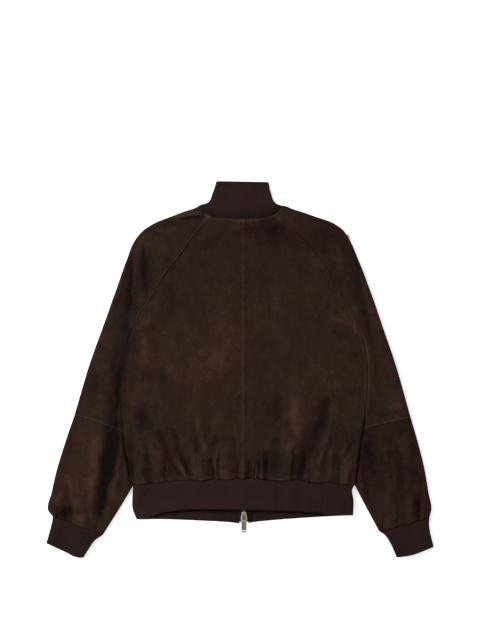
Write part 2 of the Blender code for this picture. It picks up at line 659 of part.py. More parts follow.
def strip_round(back_seam, back_edge, front_seam, front_edge, folds, rows, face, count, cells):
    """A rib strip from one zip edge, under and round a fold, over the back and down again.

    count is the number of ribs across the back, and cells the columns of each front.
    """
    whole = np.ones((len(rows), 1))
    left = curve(folds[0])(rows)
    right = curve(folds[1])(rows)
    top = layer(back_seam, back_edge, left, right, RIB, 2 * count,
                left_roll=(FOLD_ROLL, whole), right_roll=(FOLD_ROLL, whole))
    outer, inner = inset(top[0], top[1], last=False)
    above = raise_layer(outer, inner, top[2], RIB, face, lift, True, 0.0)
    add_ribs(above[0], 2, count)
    pieces = []
    for sign, fold, fold_at in ((-1, left, 0.0), (1, right, 1.0)):
        seam_at = where(front_seam, CENTRE + sign * ZIP_SLOT)
        edge_at = where(front_edge, CENTRE + sign * (ZIP_SLOT + ZIP_FLARE))
        seam_y = front_seam(seam_at)[1]
        edge_y = front_edge(edge_at)[1]
        zip_side = zip_edge(seam_y + (edge_y - seam_y) * rows, sign)
        zip_side[0, 0] = front_seam(seam_at)[0]
        zip_side[-1] = front_edge(edge_at)
        under = layer(part_of(front_seam, seam_at, fold_at), part_of(front_edge, edge_at, fold_at),
                      zip_side, fold, RIB, cells, right_roll=(UNDER_ROLL, whole))
        outer, inner = inset(under[0], under[1], last=False)
        pieces.append(raise_layer(outer, inner, under[2], RIB, face, lift, False, 0.0))
    left_piece = (pieces[0][0][:, :-1], pieces[0][1][:, :-1])
    outer, inner = join_layers(above, (pieces[1][0][:, ::-1], pieces[1][1][:, ::-1]))
    return np.concatenate([left_piece[0], outer], axis=1), np.concatenate([left_piece[1], inner], axis=1)


def hem_band():
    count = int(round((248 + 230 - 2 * FOLD_ROLL) / RIB_PITCH))
    return strip_round(curve(HEM_BACK), curve(BAND_BACK), curve(HEM_FRONT), curve(BAND_FRONT),
                       (LEFT.table["band"], RIGHT.table["band"]), np.array([0.0, 0.5, 1.0]),
                       band_top, count, 8)


def collar():
    return strip_round(curve(NECK_BACK), curve(COLLAR_BACK), curve(NECK_FRONT), curve(COLLAR_FRONT),
                       (LEFT.table["collar"], RIGHT.table["collar"]),
                       np.array([0.0, 0.22, 0.4, 0.7, 1.0]), collar_top, 26, 14)


def zip_height(y):
    """Height of the middle of the zip's teeth along it, higher on the ribs and in the sliders."""
    panel = SUEDE + SEAM + TAPE / 2
    band = RIB + SEAM + TAPE / 2
    in_rib = smooth((-248.0 - y) / 12.0) + smooth((y - 249.0) / 12.0)
    in_slider = smooth((-278.0 - y) / 20.0) + smooth((y - 276.0) / 24.0)
    return panel + in_rib * (band - panel) + in_slider * (ZIP_IN_SLIDER - band)


def zip_strip(x0, x1, thickness, y0, y1):
    """A strip of the zip between two lines, following the zip's height."""
    y = np.concatenate([np.linspace(y0, 300, 3), np.linspace(288, 276, 2), np.linspace(262, 248, 3),
                        np.linspace(200, -200, 5), np.linspace(-246, -262, 3),
                        np.linspace(-276, -300, 3), [y1]])
    grid = np.stack([np.stack([np.full(len(y), x), y], axis=-1) for x in (x0, x1)], axis=1)
    height = np.repeat(zip_height(y)[:, None], 2, axis=1)
    outer = np.dstack([grid, height + thickness / 2])
    inner = np.dstack([grid, height - thickness / 2])
    return outer, inner


def flat_plate(name, outline, low, high, holes=()):
    """A flat plate from an outline in the plane, with holes through it."""
    data = bpy.data.curves.new(name, "CURVE")
    data.dimensions = "2D"
    data.fill_mode = "BOTH"
    data.extrude = (high - low) / 2 * MM
    for points in (outline, *holes):
        spline = data.splines.new("POLY")
        spline.points.add(len(points) - 1)
        for point, (x, y) in zip(spline.points, points):
            point.co = (x * MM, y * MM, 0.0, 1.0)
        spline.use_cyclic_u = True
    made = bpy.data.objects.new(name, data)
    bpy.context.scene.collection.objects.link(made)
    bpy.context.view_layer.update()
    shape = bmesh.new()
    flat = bpy.data.meshes.new_from_object(made.evaluated_get(bpy.context.evaluated_depsgraph_get()))
    shape.from_mesh(flat)
    bmesh.ops.remove_doubles(shape, verts=shape.verts, dist=0.00001)
    bmesh.ops.translate(shape, verts=shape.verts, vec=(0.0, 0.0, (low + high) / 2 * MM))
    bmesh.ops.recalc_face_normals(shape, faces=shape.faces)
    shape.to_mesh(flat)
    shape.free()
    bpy.data.objects.remove(made)
    bpy.data.curves.remove(data)
    return flat


def box(x0, x1, y0, y1, low, high):
    """Corners of a rectangle and its two heights, for flat_plate."""
    return [(x0, y0), (x1, y0), (x1, y1), (x0, y1)], low, high


def united(name, meshes):
    """One body out of meshes that meet, by Boolean unions."""
    whole = bpy.data.objects.new(name, meshes[0])
    bpy.context.scene.collection.objects.link(whole)
    others = []
    for mesh in meshes[1:]:
        other = bpy.data.objects.new(name + "_add", mesh)
        bpy.context.scene.collection.objects.link(other)
        others.append(other)
        joint = whole.modifiers.new("add", "BOOLEAN")
        joint.operation = "UNION"
        joint.object = other
    bpy.context.view_layer.update()
    depsgraph = bpy.context.evaluated_depsgraph_get()
    joined = bpy.data.meshes.new_from_object(whole.evaluated_get(depsgraph))
    for made in (whole, *others):
        bpy.data.objects.remove(made)
    return joined


def slider_outline(mouth, nose):
    """Outline of a slider's plates, narrow at the teeth's side and round at the other."""
    run = nose - mouth
    half = [(4.6, 0.0), (5.2, 0.25), (6.6, 0.5), (SLIDER_HALF, 0.68), (6.6, 0.85), (4.6, 0.97), (2.0, 1.0)]
    right = [(x, mouth + run * share) for x, share in half]
    left = [(-x, y) for x, y in reversed(right)]
    return [(CENTRE + x, y) for x, y in right + left]


def slider(name, mouth, nose):
    """Two plates round the teeth, the post that parts them, and the loop for the pull tab."""
    middle = ZIP_IN_SLIDER
    toward = 1.0 if nose > mouth else -1.0
    outline = slider_outline(mouth, nose)
    pivot_y = pull_axis(mouth, nose)
    pivot_z = middle - PIVOT_DROP
    plate_low = middle - PLATE_GAP
    post = sorted([nose - toward * 1.5, nose - toward * 6.0])
    leg = BAIL_REACH + BAIL_WALL
    bail_low = pivot_z - BAIL_DEPTH - BAIL_WALL
    parts = [
        (outline, plate_low - PLATE, plate_low),
        (outline, middle + PLATE_GAP, middle + PLATE_GAP + PLATE),
        box(CENTRE - 1.5, CENTRE + 1.5, post[0], post[1], plate_low - 0.5, middle + PLATE_GAP + 0.5),
        box(CENTRE - BAIL_HALF, CENTRE + BAIL_HALF, pivot_y + BAIL_REACH, pivot_y + leg,
            bail_low, plate_low - 0.5),
        box(CENTRE - BAIL_HALF, CENTRE + BAIL_HALF, pivot_y - leg, pivot_y - BAIL_REACH,
            bail_low, plate_low - 0.5),
        box(CENTRE - BAIL_HALF, CENTRE + BAIL_HALF, pivot_y - leg, pivot_y + leg,
            bail_low, bail_low + BAIL_WALL),
    ]
    meshes = [flat_plate(name, *part) for part in parts]
    return united(name, meshes)


def pull_axis(mouth, nose):
    return mouth + (nose - mouth) * 0.52


def pull(name, mouth, nose):
    """A pull tab: a bar in the slider's loop, an eye round the loop and a slotted plate."""
    y = pull_axis(mouth, nose)
    z = ZIP_IN_SLIDER - PIVOT_DROP
    narrow = 3.9
    outline = [(narrow, 0.6), (narrow, -7.0), (PULL_HALF, -9.5), (PULL_HALF, -PULL_LENGTH + 1.5),
               (PULL_HALF - 1.5, -PULL_LENGTH)]
    outline = [(CENTRE + px, y + py) for px, py in outline] + [
        (CENTRE - px, y + py) for px, py in reversed(outline)]
    eye = [(-2.2, -0.6), (2.2, -0.6), (2.2, -5.4), (-2.2, -5.4)]
    slot = [(-1.3, -22.5), (1.3, -22.5), (1.3, -30.5), (-1.3, -30.5)]
    holes = [[(CENTRE + px, y + py) for px, py in hole] for hole in (eye, slot)]
    return flat_plate(name, outline, z - PULL / 2, z + PULL / 2, holes)


SUEDE_LOOK = ((0.035, 0.018, 0.013), 0.95, 0.0)
RIB_LOOK = ((0.028, 0.014, 0.012), 0.9, 0.0)
TAPE_LOOK = ((0.012, 0.009, 0.008), 0.85, 0.0)
BRASS_LOOK = ((0.45, 0.32, 0.12), 0.35, 1.0)


def main():
    for old in list(bpy.data.objects):
        bpy.data.objects.remove(old)
    collection = bpy.data.collections.new("blouson")
    bpy.context.scene.collection.children.link(collection)
    root = bpy.data.objects.new("blouson", None)
    collection.objects.link(root)
    for side in (LEFT, RIGHT):
        cloth = {
            "back_": back_panel(side),
            "front_": front_panel(side),
            "sleeve_upper_": upper_sleeve(side),
            "sleeve_lower_": lower_sleeve(side),
        }
        for start, (outer, inner) in cloth.items():
            name = start + side.name
            place(name, wall_mesh(name, outer, inner), collection, root, SUEDE_LOOK)
        name = "cuff_" + side.name
        place(name, wall_mesh(name, *cuff(side)), collection, root, RIB_LOOK)
        name = "zip_tape_" + side.name
        edges = sorted([CENTRE + side.sign * (CHAIN_HALF + SEAM), CENTRE + side.sign * TAPE_REACH])
        tape = zip_strip(edges[0], edges[1], TAPE, ZIP_TOP - 1.0, ZIP_BOTTOM + 1.0)
        place(name, wall_mesh(name, *tape), collection, root, TAPE_LOOK)
    place("collar", wall_mesh("collar", *collar()), collection, root, RIB_LOOK)
    place("hem_band", wall_mesh("hem_band", *hem_band()), collection, root, RIB_LOOK)
    chain = zip_strip(CENTRE - CHAIN_HALF, CENTRE + CHAIN_HALF, CHAIN, ZIP_TOP - 6.5, ZIP_BOTTOM + 6.5)
    place("zip_chain", wall_mesh("zip_chain", *chain), collection, root, BRASS_LOOK)
    ends = {
        "top": (ZIP_TOP - SLIDER_LENGTH, ZIP_TOP),
        "bottom": (ZIP_BOTTOM + SLIDER_LENGTH, ZIP_BOTTOM),
    }
    for name, (mouth, nose) in ends.items():
        place("slider_" + name, slider("slider_" + name, mouth, nose), collection, root, BRASS_LOOK)
        axis = (CENTRE * MM, pull_axis(mouth, nose) * MM, (ZIP_IN_SLIDER - PIVOT_DROP) * MM)
        place("pull_" + name, pull("pull_" + name, mouth, nose), collection, root, BRASS_LOOK, axis)


main()
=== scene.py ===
"""Looks of a suede blouson with rib trims that lies flat with its back side up.

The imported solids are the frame.  Every cloth piece made here is a finer shell on the form of
its solid, cut on the same seam lines, with its creases, puffs, felled seams, stitches and ribs.
Tables are in millimetres: +X runs to the right of the garment as it lies, +Y to its collar and
+Z up.  Every cloth piece is a wall between a grid of outer points and a grid of inner ones.
"""

import functools
import math

import bmesh
import bpy
import numpy as np
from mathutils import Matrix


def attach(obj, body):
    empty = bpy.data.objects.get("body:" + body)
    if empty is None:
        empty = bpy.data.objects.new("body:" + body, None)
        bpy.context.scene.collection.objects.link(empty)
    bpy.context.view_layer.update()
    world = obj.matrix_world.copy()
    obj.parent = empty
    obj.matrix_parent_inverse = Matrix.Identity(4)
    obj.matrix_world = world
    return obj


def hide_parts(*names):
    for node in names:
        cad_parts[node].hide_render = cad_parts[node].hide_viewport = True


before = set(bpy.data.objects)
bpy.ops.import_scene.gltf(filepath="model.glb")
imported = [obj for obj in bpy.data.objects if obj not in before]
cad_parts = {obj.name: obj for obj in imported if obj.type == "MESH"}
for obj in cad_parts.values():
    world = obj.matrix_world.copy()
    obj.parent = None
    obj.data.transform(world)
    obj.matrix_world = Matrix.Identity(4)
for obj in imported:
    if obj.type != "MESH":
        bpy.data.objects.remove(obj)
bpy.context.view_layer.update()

bl_info = {
    "name": "Suede blouson",
    "version": (1, 0, 0),
    "blender": (4, 5, 0),
    "location": "3D View > Sidebar > Blouson",
    "description": "Suede, rib knit, zip and stitching of a blouson laid flat",
    "category": "Object",
}

once = functools.lru_cache(None)   # what such a function makes is made once and kept

MM = 0.001
BLACK = (0.0, 0.0, 0.0)

# Heights and widths in millimetres, as in the solids except where a comment says otherwise
LOFT = 7.2            # height of the upper layer over most of the garment
LOW_LOFT = 5.9        # lowest the upper layer of the body comes to over the zip
PANEL = 1.8           # room that a layer of suede takes up
RIB_ROOM = 3.0        # room that a layer of rib takes up
SEAM = 0.3            # gap between two pieces at a seam
HIDDEN_SLEEVE = 4.4   # height of the sleeve where the body lies on it
BODY_LIFT = 4.8       # how far the body is raised where it lies on the sleeve
RIB_LOFT = 9.6        # height of the upper layer of the hem band
BAND_OVER_ZIP = 0.9   # extra height of the hem band over the zip
CUFF_LOFT = 8.0
CENTRE = 9.0          # x of the zip and of the centre-back seam
ZIP_SLOT = 6.0        # half the width between the two front edges
ZIP_FLARE = 3.7       # what each edge opens by at the two ends of the zip
FLARE_LOW = -288.0
FLARE_HIGH = 308.0
FOLD_ROLL = 9.0       # plan width of the roll at a fold, on the upper layer
UNDER_ROLL = 4.0      # the same on the lower layer
SEAM_ROLL = 5.0       # plan width of the roll at a side or underarm seam
SWAP = 39.0           # length below the underarm over which body and sleeve change levels
LIFT_START = 64.0     # how far inside the sleeve's edge the body starts to rise over it
LIFT_RUN = 40.0
LIFT_SHARE = 0.46
SHOWN_MARGIN = 1.5    # how far the sleeve stays low outside the body's edge, less than in the solids
SHOWN_RUN = 6.5       # and over how far it then rises, which is also less
LEVEL_RUN = 26.0
RISE_RUN = 32.0       # length below the underarm over which the body rises
COLLAR_FALL = (372.0, 22.0)
ZIP_TOP = 349.0
ZIP_BOTTOM = -329.5
ZIP_IN_SLIDER = 5.2   # height of the middle of the teeth inside the sliders
TAPE = 0.8
TAPE_REACH = 16.0
SLIDER_LENGTH = 21.5
SLIDER_HALF = 7.2
PLATE = 1.1
PLATE_GAP = 1.4
PIVOT_DROP = 3.4
PULL_LENGTH = 33.0
PULL_HALF = 5.4
PULL = 1.0

# Seams across the garment, as points (x, y) from left to right
NECK_BACK = [(-87, 348), (-84.5, 344.8), (-73, 336), (-60, 330), (-33, 326), (9, 324), (51, 327),
             (76, 335), (87.8, 345.7), (90, 349)]
NECK_FRONT = [(-87, 348), (-84.5, 344.8), (-75, 323), (-53, 293), (-25, 271), (9, 263), (42, 271),
              (66, 293), (80, 323), (87.8, 345.7), (90, 349)]
HEM_BACK = [(-230, -249), (-193, -246), (-85, -241), (9, -237), (131, -243), (248, -249)]
HEM_FRONT = [(-230, -249), (-150, -256), (9, -262), (160, -256), (248, -249)]
BAND_BACK = [(-222, -324), (-200, -320), (-175, -312), (-123, -304), (12, -304), (134, -308),
             (192, -313), (244, -315)]
BAND_FRONT = [(-222, -324), (-162, -324), (-84, -327), (-27, -330), (9, -333), (31, -330),
              (95, -324), (153, -320), (244, -315)]
COLLAR_BACK = [(-50, 405), (9, 404), (62, 403)]
COLLAR_FRONT = [(-50, 405), (-31, 373), (-12, 356), (9, 350), (26, 356), (43, 373), (62, 403)]

# Lines down each side of the garment, as points (x, y) from top to bottom
LEFT_LINES = {
    "neck_raglan_x": -63.0,
    "front_raglan_x": -75.0,
    "back_raglan": [(-92, 305), (-129, 254), (-159, 217), (-192, 163), (-204, 142),
                    (-222, 120), (-228, 96)],
    "front_raglan": [(-100, 290), (-135, 238), (-172, 180), (-207, 126), (-228, 96)],
    "side": [(-228, 96), (-242, 51), (-249, 6), (-253, -44), (-253, -92), (-249, -139),
             (-245, -172), (-238, -210), (-230, -249)],
    "band": [(-230, -249), (-231, -273), (-231, -299), (-222, -324)],
    "underarm": [(-215, 8), (-196, -57), (-189, -110), (-190, -150)],
    "elbow": [(-190, -150), (-269, -130), (-291, -121), (-325, -108), (-357, -101)],
    "forearm": [(-190, -150), (-198, -187), (-219, -232), (-235, -260), (-262, -305),
                (-295, -357)],
    "overarm": [(-87, 348), (-109, 343), (-145, 330), (-192, 310), (-208, 299), (-226, 278),
                (-244, 235), (-267, 170), (-298, 83), (-321, 19), (-357, -101)],
    "overarm_low": [(-357, -101), (-375, -154), (-395, -219), (-406, -267), (-413, -305),
                    (-403, -318)],
    "cuff_seam": [(-295, -357), (-322, -348), (-351, -337), (-378, -326), (-403, -318)],
    "cuff_end": [(-337, -406), (-347, -406), (-380, -392), (-417, -375)],
    "cuff_inner": [(-295, -357), (-311, -368), (-327, -390), (-337, -406)],
    "cuff_outer": [(-403, -318), (-405, -331), (-410, -351), (-417, -375)],
    "collar": [(-87, 348), (-69, 358), (-62, 365), (-56, 385), (-50, 405)],
}
RIGHT_LINES = {
    "neck_raglan_x": 76.0,
    "front_raglan_x": 80.0,
    "back_raglan": [(100, 311), (131, 278), (161, 241), (182, 214), (203, 178), (221, 145),
                    (243, 111), (256, 86)],
    "front_raglan": [(103, 292), (140, 244), (180, 188), (220, 126), (256, 86)],
    "side": [(256, 86), (265, 57), (272, 14), (273, -35), (269, -85), (264, -133),
             (257, -172), (253, -210), (248, -249)],
    "band": [(248, -249), (243, -256), (245, -284), (244, -315)],
    "underarm": [(228, 2), (209, -60), (200, -110), (198, -150)],
    "elbow": [(198, -150), (270, -128), (316, -117), (339, -111), (369, -106)],
    "forearm": [(198, -150), (203, -180), (222, -212), (247, -249), (263, -280), (300, -349)],
    "overarm": [(90, 349), (119, 343), (159, 330), (209, 310), (223, 299), (237, 278),
                (256, 235), (281, 170), (311, 83), (333, 19), (369, -106)],
    "overarm_low": [(369, -106), (383, -154), (399, -219), (407, -267), (413, -303),
                    (409, -320)],
    "cuff_seam": [(300, -349), (329, -344), (357, -337), (383, -329), (409, -320)],
    "cuff_end": [(338, -406), (370, -401), (418, -383)],
    "cuff_inner": [(300, -349), (312, -357), (324, -375), (338, -406)],
    "cuff_outer": [(409, -320), (408, -331), (413, -364), (418, -383)],
    "collar": [(90, 349), (81, 354), (74, 361), (68, 381), (62, 403)],
}

# Folds that the solids have too: two ends, half width, and height (less than 0 for a valley)
FOLDS = [
    # x0,   y0,   x1,   y1, half_width, height
    # fullness at the back of the neck
    (-5, 334, 23, 334, 44, 4.7),
    # long valley down the left sleeve
    (-224, 278, -249, 148, 11, -2.6), (-249, 148, -262, 6, 11, -2.6), (-262, 6, -272, -139, 13, -2.9),
    (-272, -139, -303, -318, 13, -3),
    # ridge outside that valley
    (-290, 60, -322, -120, 24, 3.2), (-338, -150, -368, -285, 24, 4.6),
    # ridge between the valley and the body
    (-252, -170, -283, -300, 9, 2.6), (-222, 255, -226, 185, 8, 2.4),
    # tuck along the left shoulder
    (-167, 322, -100, 322, 8, 2.2), (-165, 309, -105, 311, 7, -1.8), (-146, 181, -161, 83, 18, -1.3),
    (-128, 170, -140, 70, 16, 1.6), (-215, -109, -215, -139, 10, -1.6),
    # creases running down to the hem, left
    (-157, -174, -129, -228, 7, -2.6), (-135, -159, -110, -218, 7, -2.6), (-100, -102, -79, -178, 9, -1.9),
    (-57, -168, -57, -228, 7, -2.4),
    # puffs over the hem seam
    (-205, -180, -204, -236, 15, 4.6), (-172, -190, -166, -236, 12, 4.8), (-124, -200, -120, -232, 9, 3.6),
    (-86, -190, -80, -230, 11, 5), (-31, -180, -29, -228, 14, 5.2), (9, -200, 9, -226, 8, 3),
    (46, -208, 44, -230, 10, 3.4), (96, -110, 92, -226, 17, 5), (200, -95, 166, -222, 16, 4.6),
    (226, -185, 224, -232, 13, 4.6),
    # long slanting fold on the right of the back
    (189, -64, 163, -120, 12, -2.2), (163, -120, 124, -218, 10, -4.2), (232, -154, 203, -212, 9, -2.6),
    (68, -57, 90, -126, 12, -1.4),
    # right sleeve
    (249, 235, 256, 148, 11, -2.4), (274, 205, 300, 60, 22, 2.6), (318, 20, 345, -80, 22, 2.4),
    (335, -192, 338, -232, 11, -2.4), (385, -228, 388, -295, 10, -2.4), (358, -165, 366, -250, 14, 3.4),
    # fullness over the cuffs
    (368, -286, 366, -306, 12, 4.4), (322, -300, 322, -328, 14, 3.8), (400, -250, 402, -296, 8, 3),
    (-388, -280, -386, -304, 13, 4.2), (-345, -296, -340, -322, 14, 4.4),
]

# Finer creases of the suede, in the same form, but narrower and shallower towards both ends
CREASES = [
    # x0,   y0,   x1,   y1, half_width, height
    # drag lines from the left underarm
    (-228, 62, -176, 96, 7, -1.3), (-236, 30, -192, 52, 6, -1.1), (-206, 118, -158, 150, 6, -1),
    (-222, 84, -186, 112, 6, 1),
    # and from the right one
    (246, 58, 196, 88, 7, -1.3), (258, 26, 214, 44, 6, -1.1), (222, 122, 176, 140, 6, -1),
    (236, 92, 200, 112, 6, 1),
    # down the left of the back
    (-213, -66, -210, -150, 7, -3), (-216, -60, -204, -150, 6, 1.2), (-206, -82, -198, -66, 3.5, -1.4),
    (-182, -68, -162, -78, 4, 1.4), (-182, -76, -162, -86, 4, -1.2), (-238, -110, -231, -262, 5, -2.2),
    (-222, -176, -218, -262, 6, 1.6), (-206, -150, -190, -262, 6, -2), (-192, -140, -176, -256, 6, 1.6),
    # creases that fan out from the hem
    (-176, -118, -161, -180, 5.5, -2.8), (-166, -164, -136, -226, 4.5, -3.2),
    (-145, -205, -118, -240, 3.5, -2.6), (-163, -176, -134, -230, 3, 2.2),
    (-138, -192, -116, -232, 3.2, 2.4), (-160, -196, -158, -246, 3, -2.4),
    (-142, -130, -131, -180, 5, -2.4), (-134, -166, -122, -208, 4, -3),
    (-126, -194, -98, -240, 3.6, -3.2), (-92, -96, -72, -196, 7, 2.2), (-94, -140, -86, -190, 4, -1.8),
    (-104, -150, -94, -246, 6, 1.6), (-64, -186, -55, -246, 3.6, -3.6), (-58, -150, -52, -178, 4, -1.2),
    (-54, -150, -48, -250, 3.2, 2.6), (-44, -176, -45, -250, 4, -2.4), (-50, -132, -48, -164, 7, -1.6),
    (-6, -196, -3, -252, 3, -3.2), (-14, -130, -10, -210, 6, -1), (22, -186, 20, -252, 2.6, -3),
    # tight gathers right of the centre
    (27, -206, 27, -252, 1.8, -2.6), (30, -206, 29, -250, 1.8, 1.6), (33, -200, 33, -252, 1.6, -2.4),
    (37, -196, 35, -252, 2, 1.4), (41, -188, 42, -254, 2.4, -3), (49, -176, 47, -254, 2.8, 2),
    (58, -180, 55, -252, 5, -2.2), (66, -170, 46, -214, 9, -1.8), (76, -50, 86, -118, 11, -1.2),
    (118, -58, 126, -160, 12, 2.6), (112, -146, 106, -236, 8, 1.4), (84, -116, 82, -240, 9, -2.6),
    (122, -150, 112, -262, 4, -2.4),
    # the long slanting fold
    (192, -56, 174, -132, 8, -2.4), (184, -104, 150, -184, 8, -3.2), (144, -160, 122, -262, 5, -3.2),
    (136, -196, 134, -262, 3, -2.8), (182, -104, 156, -178, 6, 1.8), (160, -176, 144, -258, 4, 1.6),
    (152, -200, 150, -262, 3, -2.2), (184, -172, 168, -200, 3.4, 2), (196, -164, 176, -214, 4.4, -1.4),
    (206, -150, 186, -258, 6, 1.6), (212, -196, 212, -262, 3.2, -3), (244, -148, 224, -186, 4.4, -2.8),
    (230, -172, 210, -222, 4, -2.6), (244, -186, 226, -262, 5, 2), (238, -30, 232, -72, 9, -1),
    (246, -20, 236, -56, 6, 1.2), (204, -22, 226, -44, 6, 0.8),
    # broad soft waves across the back
    (-84, 196, -104, 128, 18, 0.9), (60, 210, 84, 120, 20, 1), (128, 196, 142, 92, 16, -1),
    (-40, 60, -60, -40, 24, 1), (52, 20, 46, -40, 18, -0.9), (-150, 20, -170, -60, 20, 1),
    (150, 40, 162, -20, 18, 0.9), (-96, 270, -56, 300, 12, 0.9), (60, 300, 92, 268, 12, -1.1),
    # left shoulder
    (-136, 325, -64, 326, 3.6, -4.4), (-150, 332, -76, 334, 4.5, 2.2), (-180, 296, -122, 300, 5, 1.3),
    (-196, 286, -150, 290, 6, -1.1), (-150, 270, -184, 214, 9, 1), (-203, 276, -203, 150, 6, -2.4),
    (-232, 236, -241, 110, 7, -2.6), (-224, 232, -230, 150, 4.5, 1.4), (-238, 130, -256, -30, 7, -2),
    (-258, 30, -270, -150, 5, -3), (-252, -20, -258, -122, 5, 1.4), (-282, 170, -308, 52, 10, -1),
    (-300, 0, -312, -82, 9, -1.1), (-330, -36, -336, -92, 7, 1.3),
    # left elbow
    (-284, -112, -332, -92, 5, -1.3),
    # the deep valley of the lower sleeve
    (-268, -122, -286, -250, 12, -4.6), (-284, -210, -304, -336, 8, -4), (-306, -130, -324, -300, 9, 2),
    (-254, -160, -274, -296, 6, 2.2), (-232, -180, -252, -246, 5, 1.4), (-306, -150, -322, -236, 9, -1.3),
    (-352, -122, -374, -206, 9, -1.2), (-322, -236, -334, -300, 6, -1.5), (-366, -236, -374, -292, 5, -1.4),
    (-396, -250, -402, -316, 4, -1.6),
    # gathers over the left cuff
    (-366, -276, -361, -340, 3.2, -2), (-376, -284, -372, -334, 2.6, -2),
    (-354, -290, -350, -342, 3, 0.8), (-330, -290, -320, -356, 4.2, -0.8),
    (-314, -306, -306, -358, 3.6, -0.9), (-338, -310, -334, -350, 3.4, 0.7),
    (-398, -286, -392, -328, 2.6, -2),
    # right shoulder and sleeve
    (206, 300, 146, 286, 6, -1.2), (210, 272, 224, 202, 7, 1.2), (180, 264, 216, 200, 9, -1),
    (250, 246, 260, 140, 5, -1.8), (262, 160, 286, 66, 6, -1.4), (274, 60, 288, -20, 7, 1.3),
    (290, 20, 312, -80, 9, -0.7), (278, -30, 286, -120, 6, -0.8), (336, -10, 352, -82, 6, -1.1),
    # right elbow
    (296, -101, 356, -90, 4.5, -1.6), (318, -82, 360, -76, 4, 1.2), (258, -124, 290, -156, 6, -1.2),
    (298, -130, 320, -206, 9, 1.3), (276, -140, 292, -240, 7, -1.8), (330, -180, 340, -250, 5, 1.6),
    (344, -170, 354, -262, 5, -1.6), (372, -126, 380, -200, 6, -1.3), (382, -222, 386, -300, 5, 2),
    (346, -226, 352, -296, 6, -1.5), (318, -210, 322, -290, 7, 1.1), (248, -180, 272, -262, 6, 1.1),
    (262, -200, 284, -300, 5, -1.6),
    # gathers over the right cuff
    (355, -276, 354, -344, 3.8, -1.1), (343, -286, 342, -346, 3.2, -0.8), (336, -290, 333, -350, 3.4, 0.8),
    (309, -300, 306, -356, 3.6, -1.2), (385, -262, 385, -334, 4.6, -2.8), (366, -284, 364, -336, 3.8, 0.8),
    (393, -276, 393, -330, 2.8, 1.2), (400, -280, 399, -328, 2.6, -1.2),
]

# Where puffs push a seam outwards: place, radius and the move
BULGES = [
    # x,    y, radius,  dx,   dy
    (-208, -246, 13, 0, -2.6), (-176, -245, 11, 0, -1.8), (-132, -243, 9, 0, 1.4),
    (-80, -241, 12, 0, -2.6), (-56, -240, 7, 0, 2), (-29, -238, 13, 0, -2.8),
    (-5, -237, 5, 0, 1.2), (9, -237, 7, 0, -1.6), (21, -237, 4, 0, 1), (78, -241, 24, 0, -4.4),
    (122, -243, 12, 0, 2.2), (166, -245, 15, 0, -4), (191, -246, 5, 0, 1.6),
    (216, -247, 14, 0, -3.6), (-388, -322, 10, 0.2, -1.6), (-345, -339, 12, 0.6, -2),
    (-368, -330, 5, 0, 1.2), (-310, -352, 9, 0.4, -1.2), (368, -333, 12, 0, -2),
    (322, -345, 12, -0.4, -1.8), (345, -340, 5, 0, 1.2), (398, -324, 7, 0, -1.4),
    # shoulders beside the collar, and the collar's sides
    (-84, 350, 12, -1.5, 3.8), (96, 349, 14, 0.5, 4.2), (-59, 371, 10, -2.2, 0), (66, 384, 12, -1.4, 0),
]

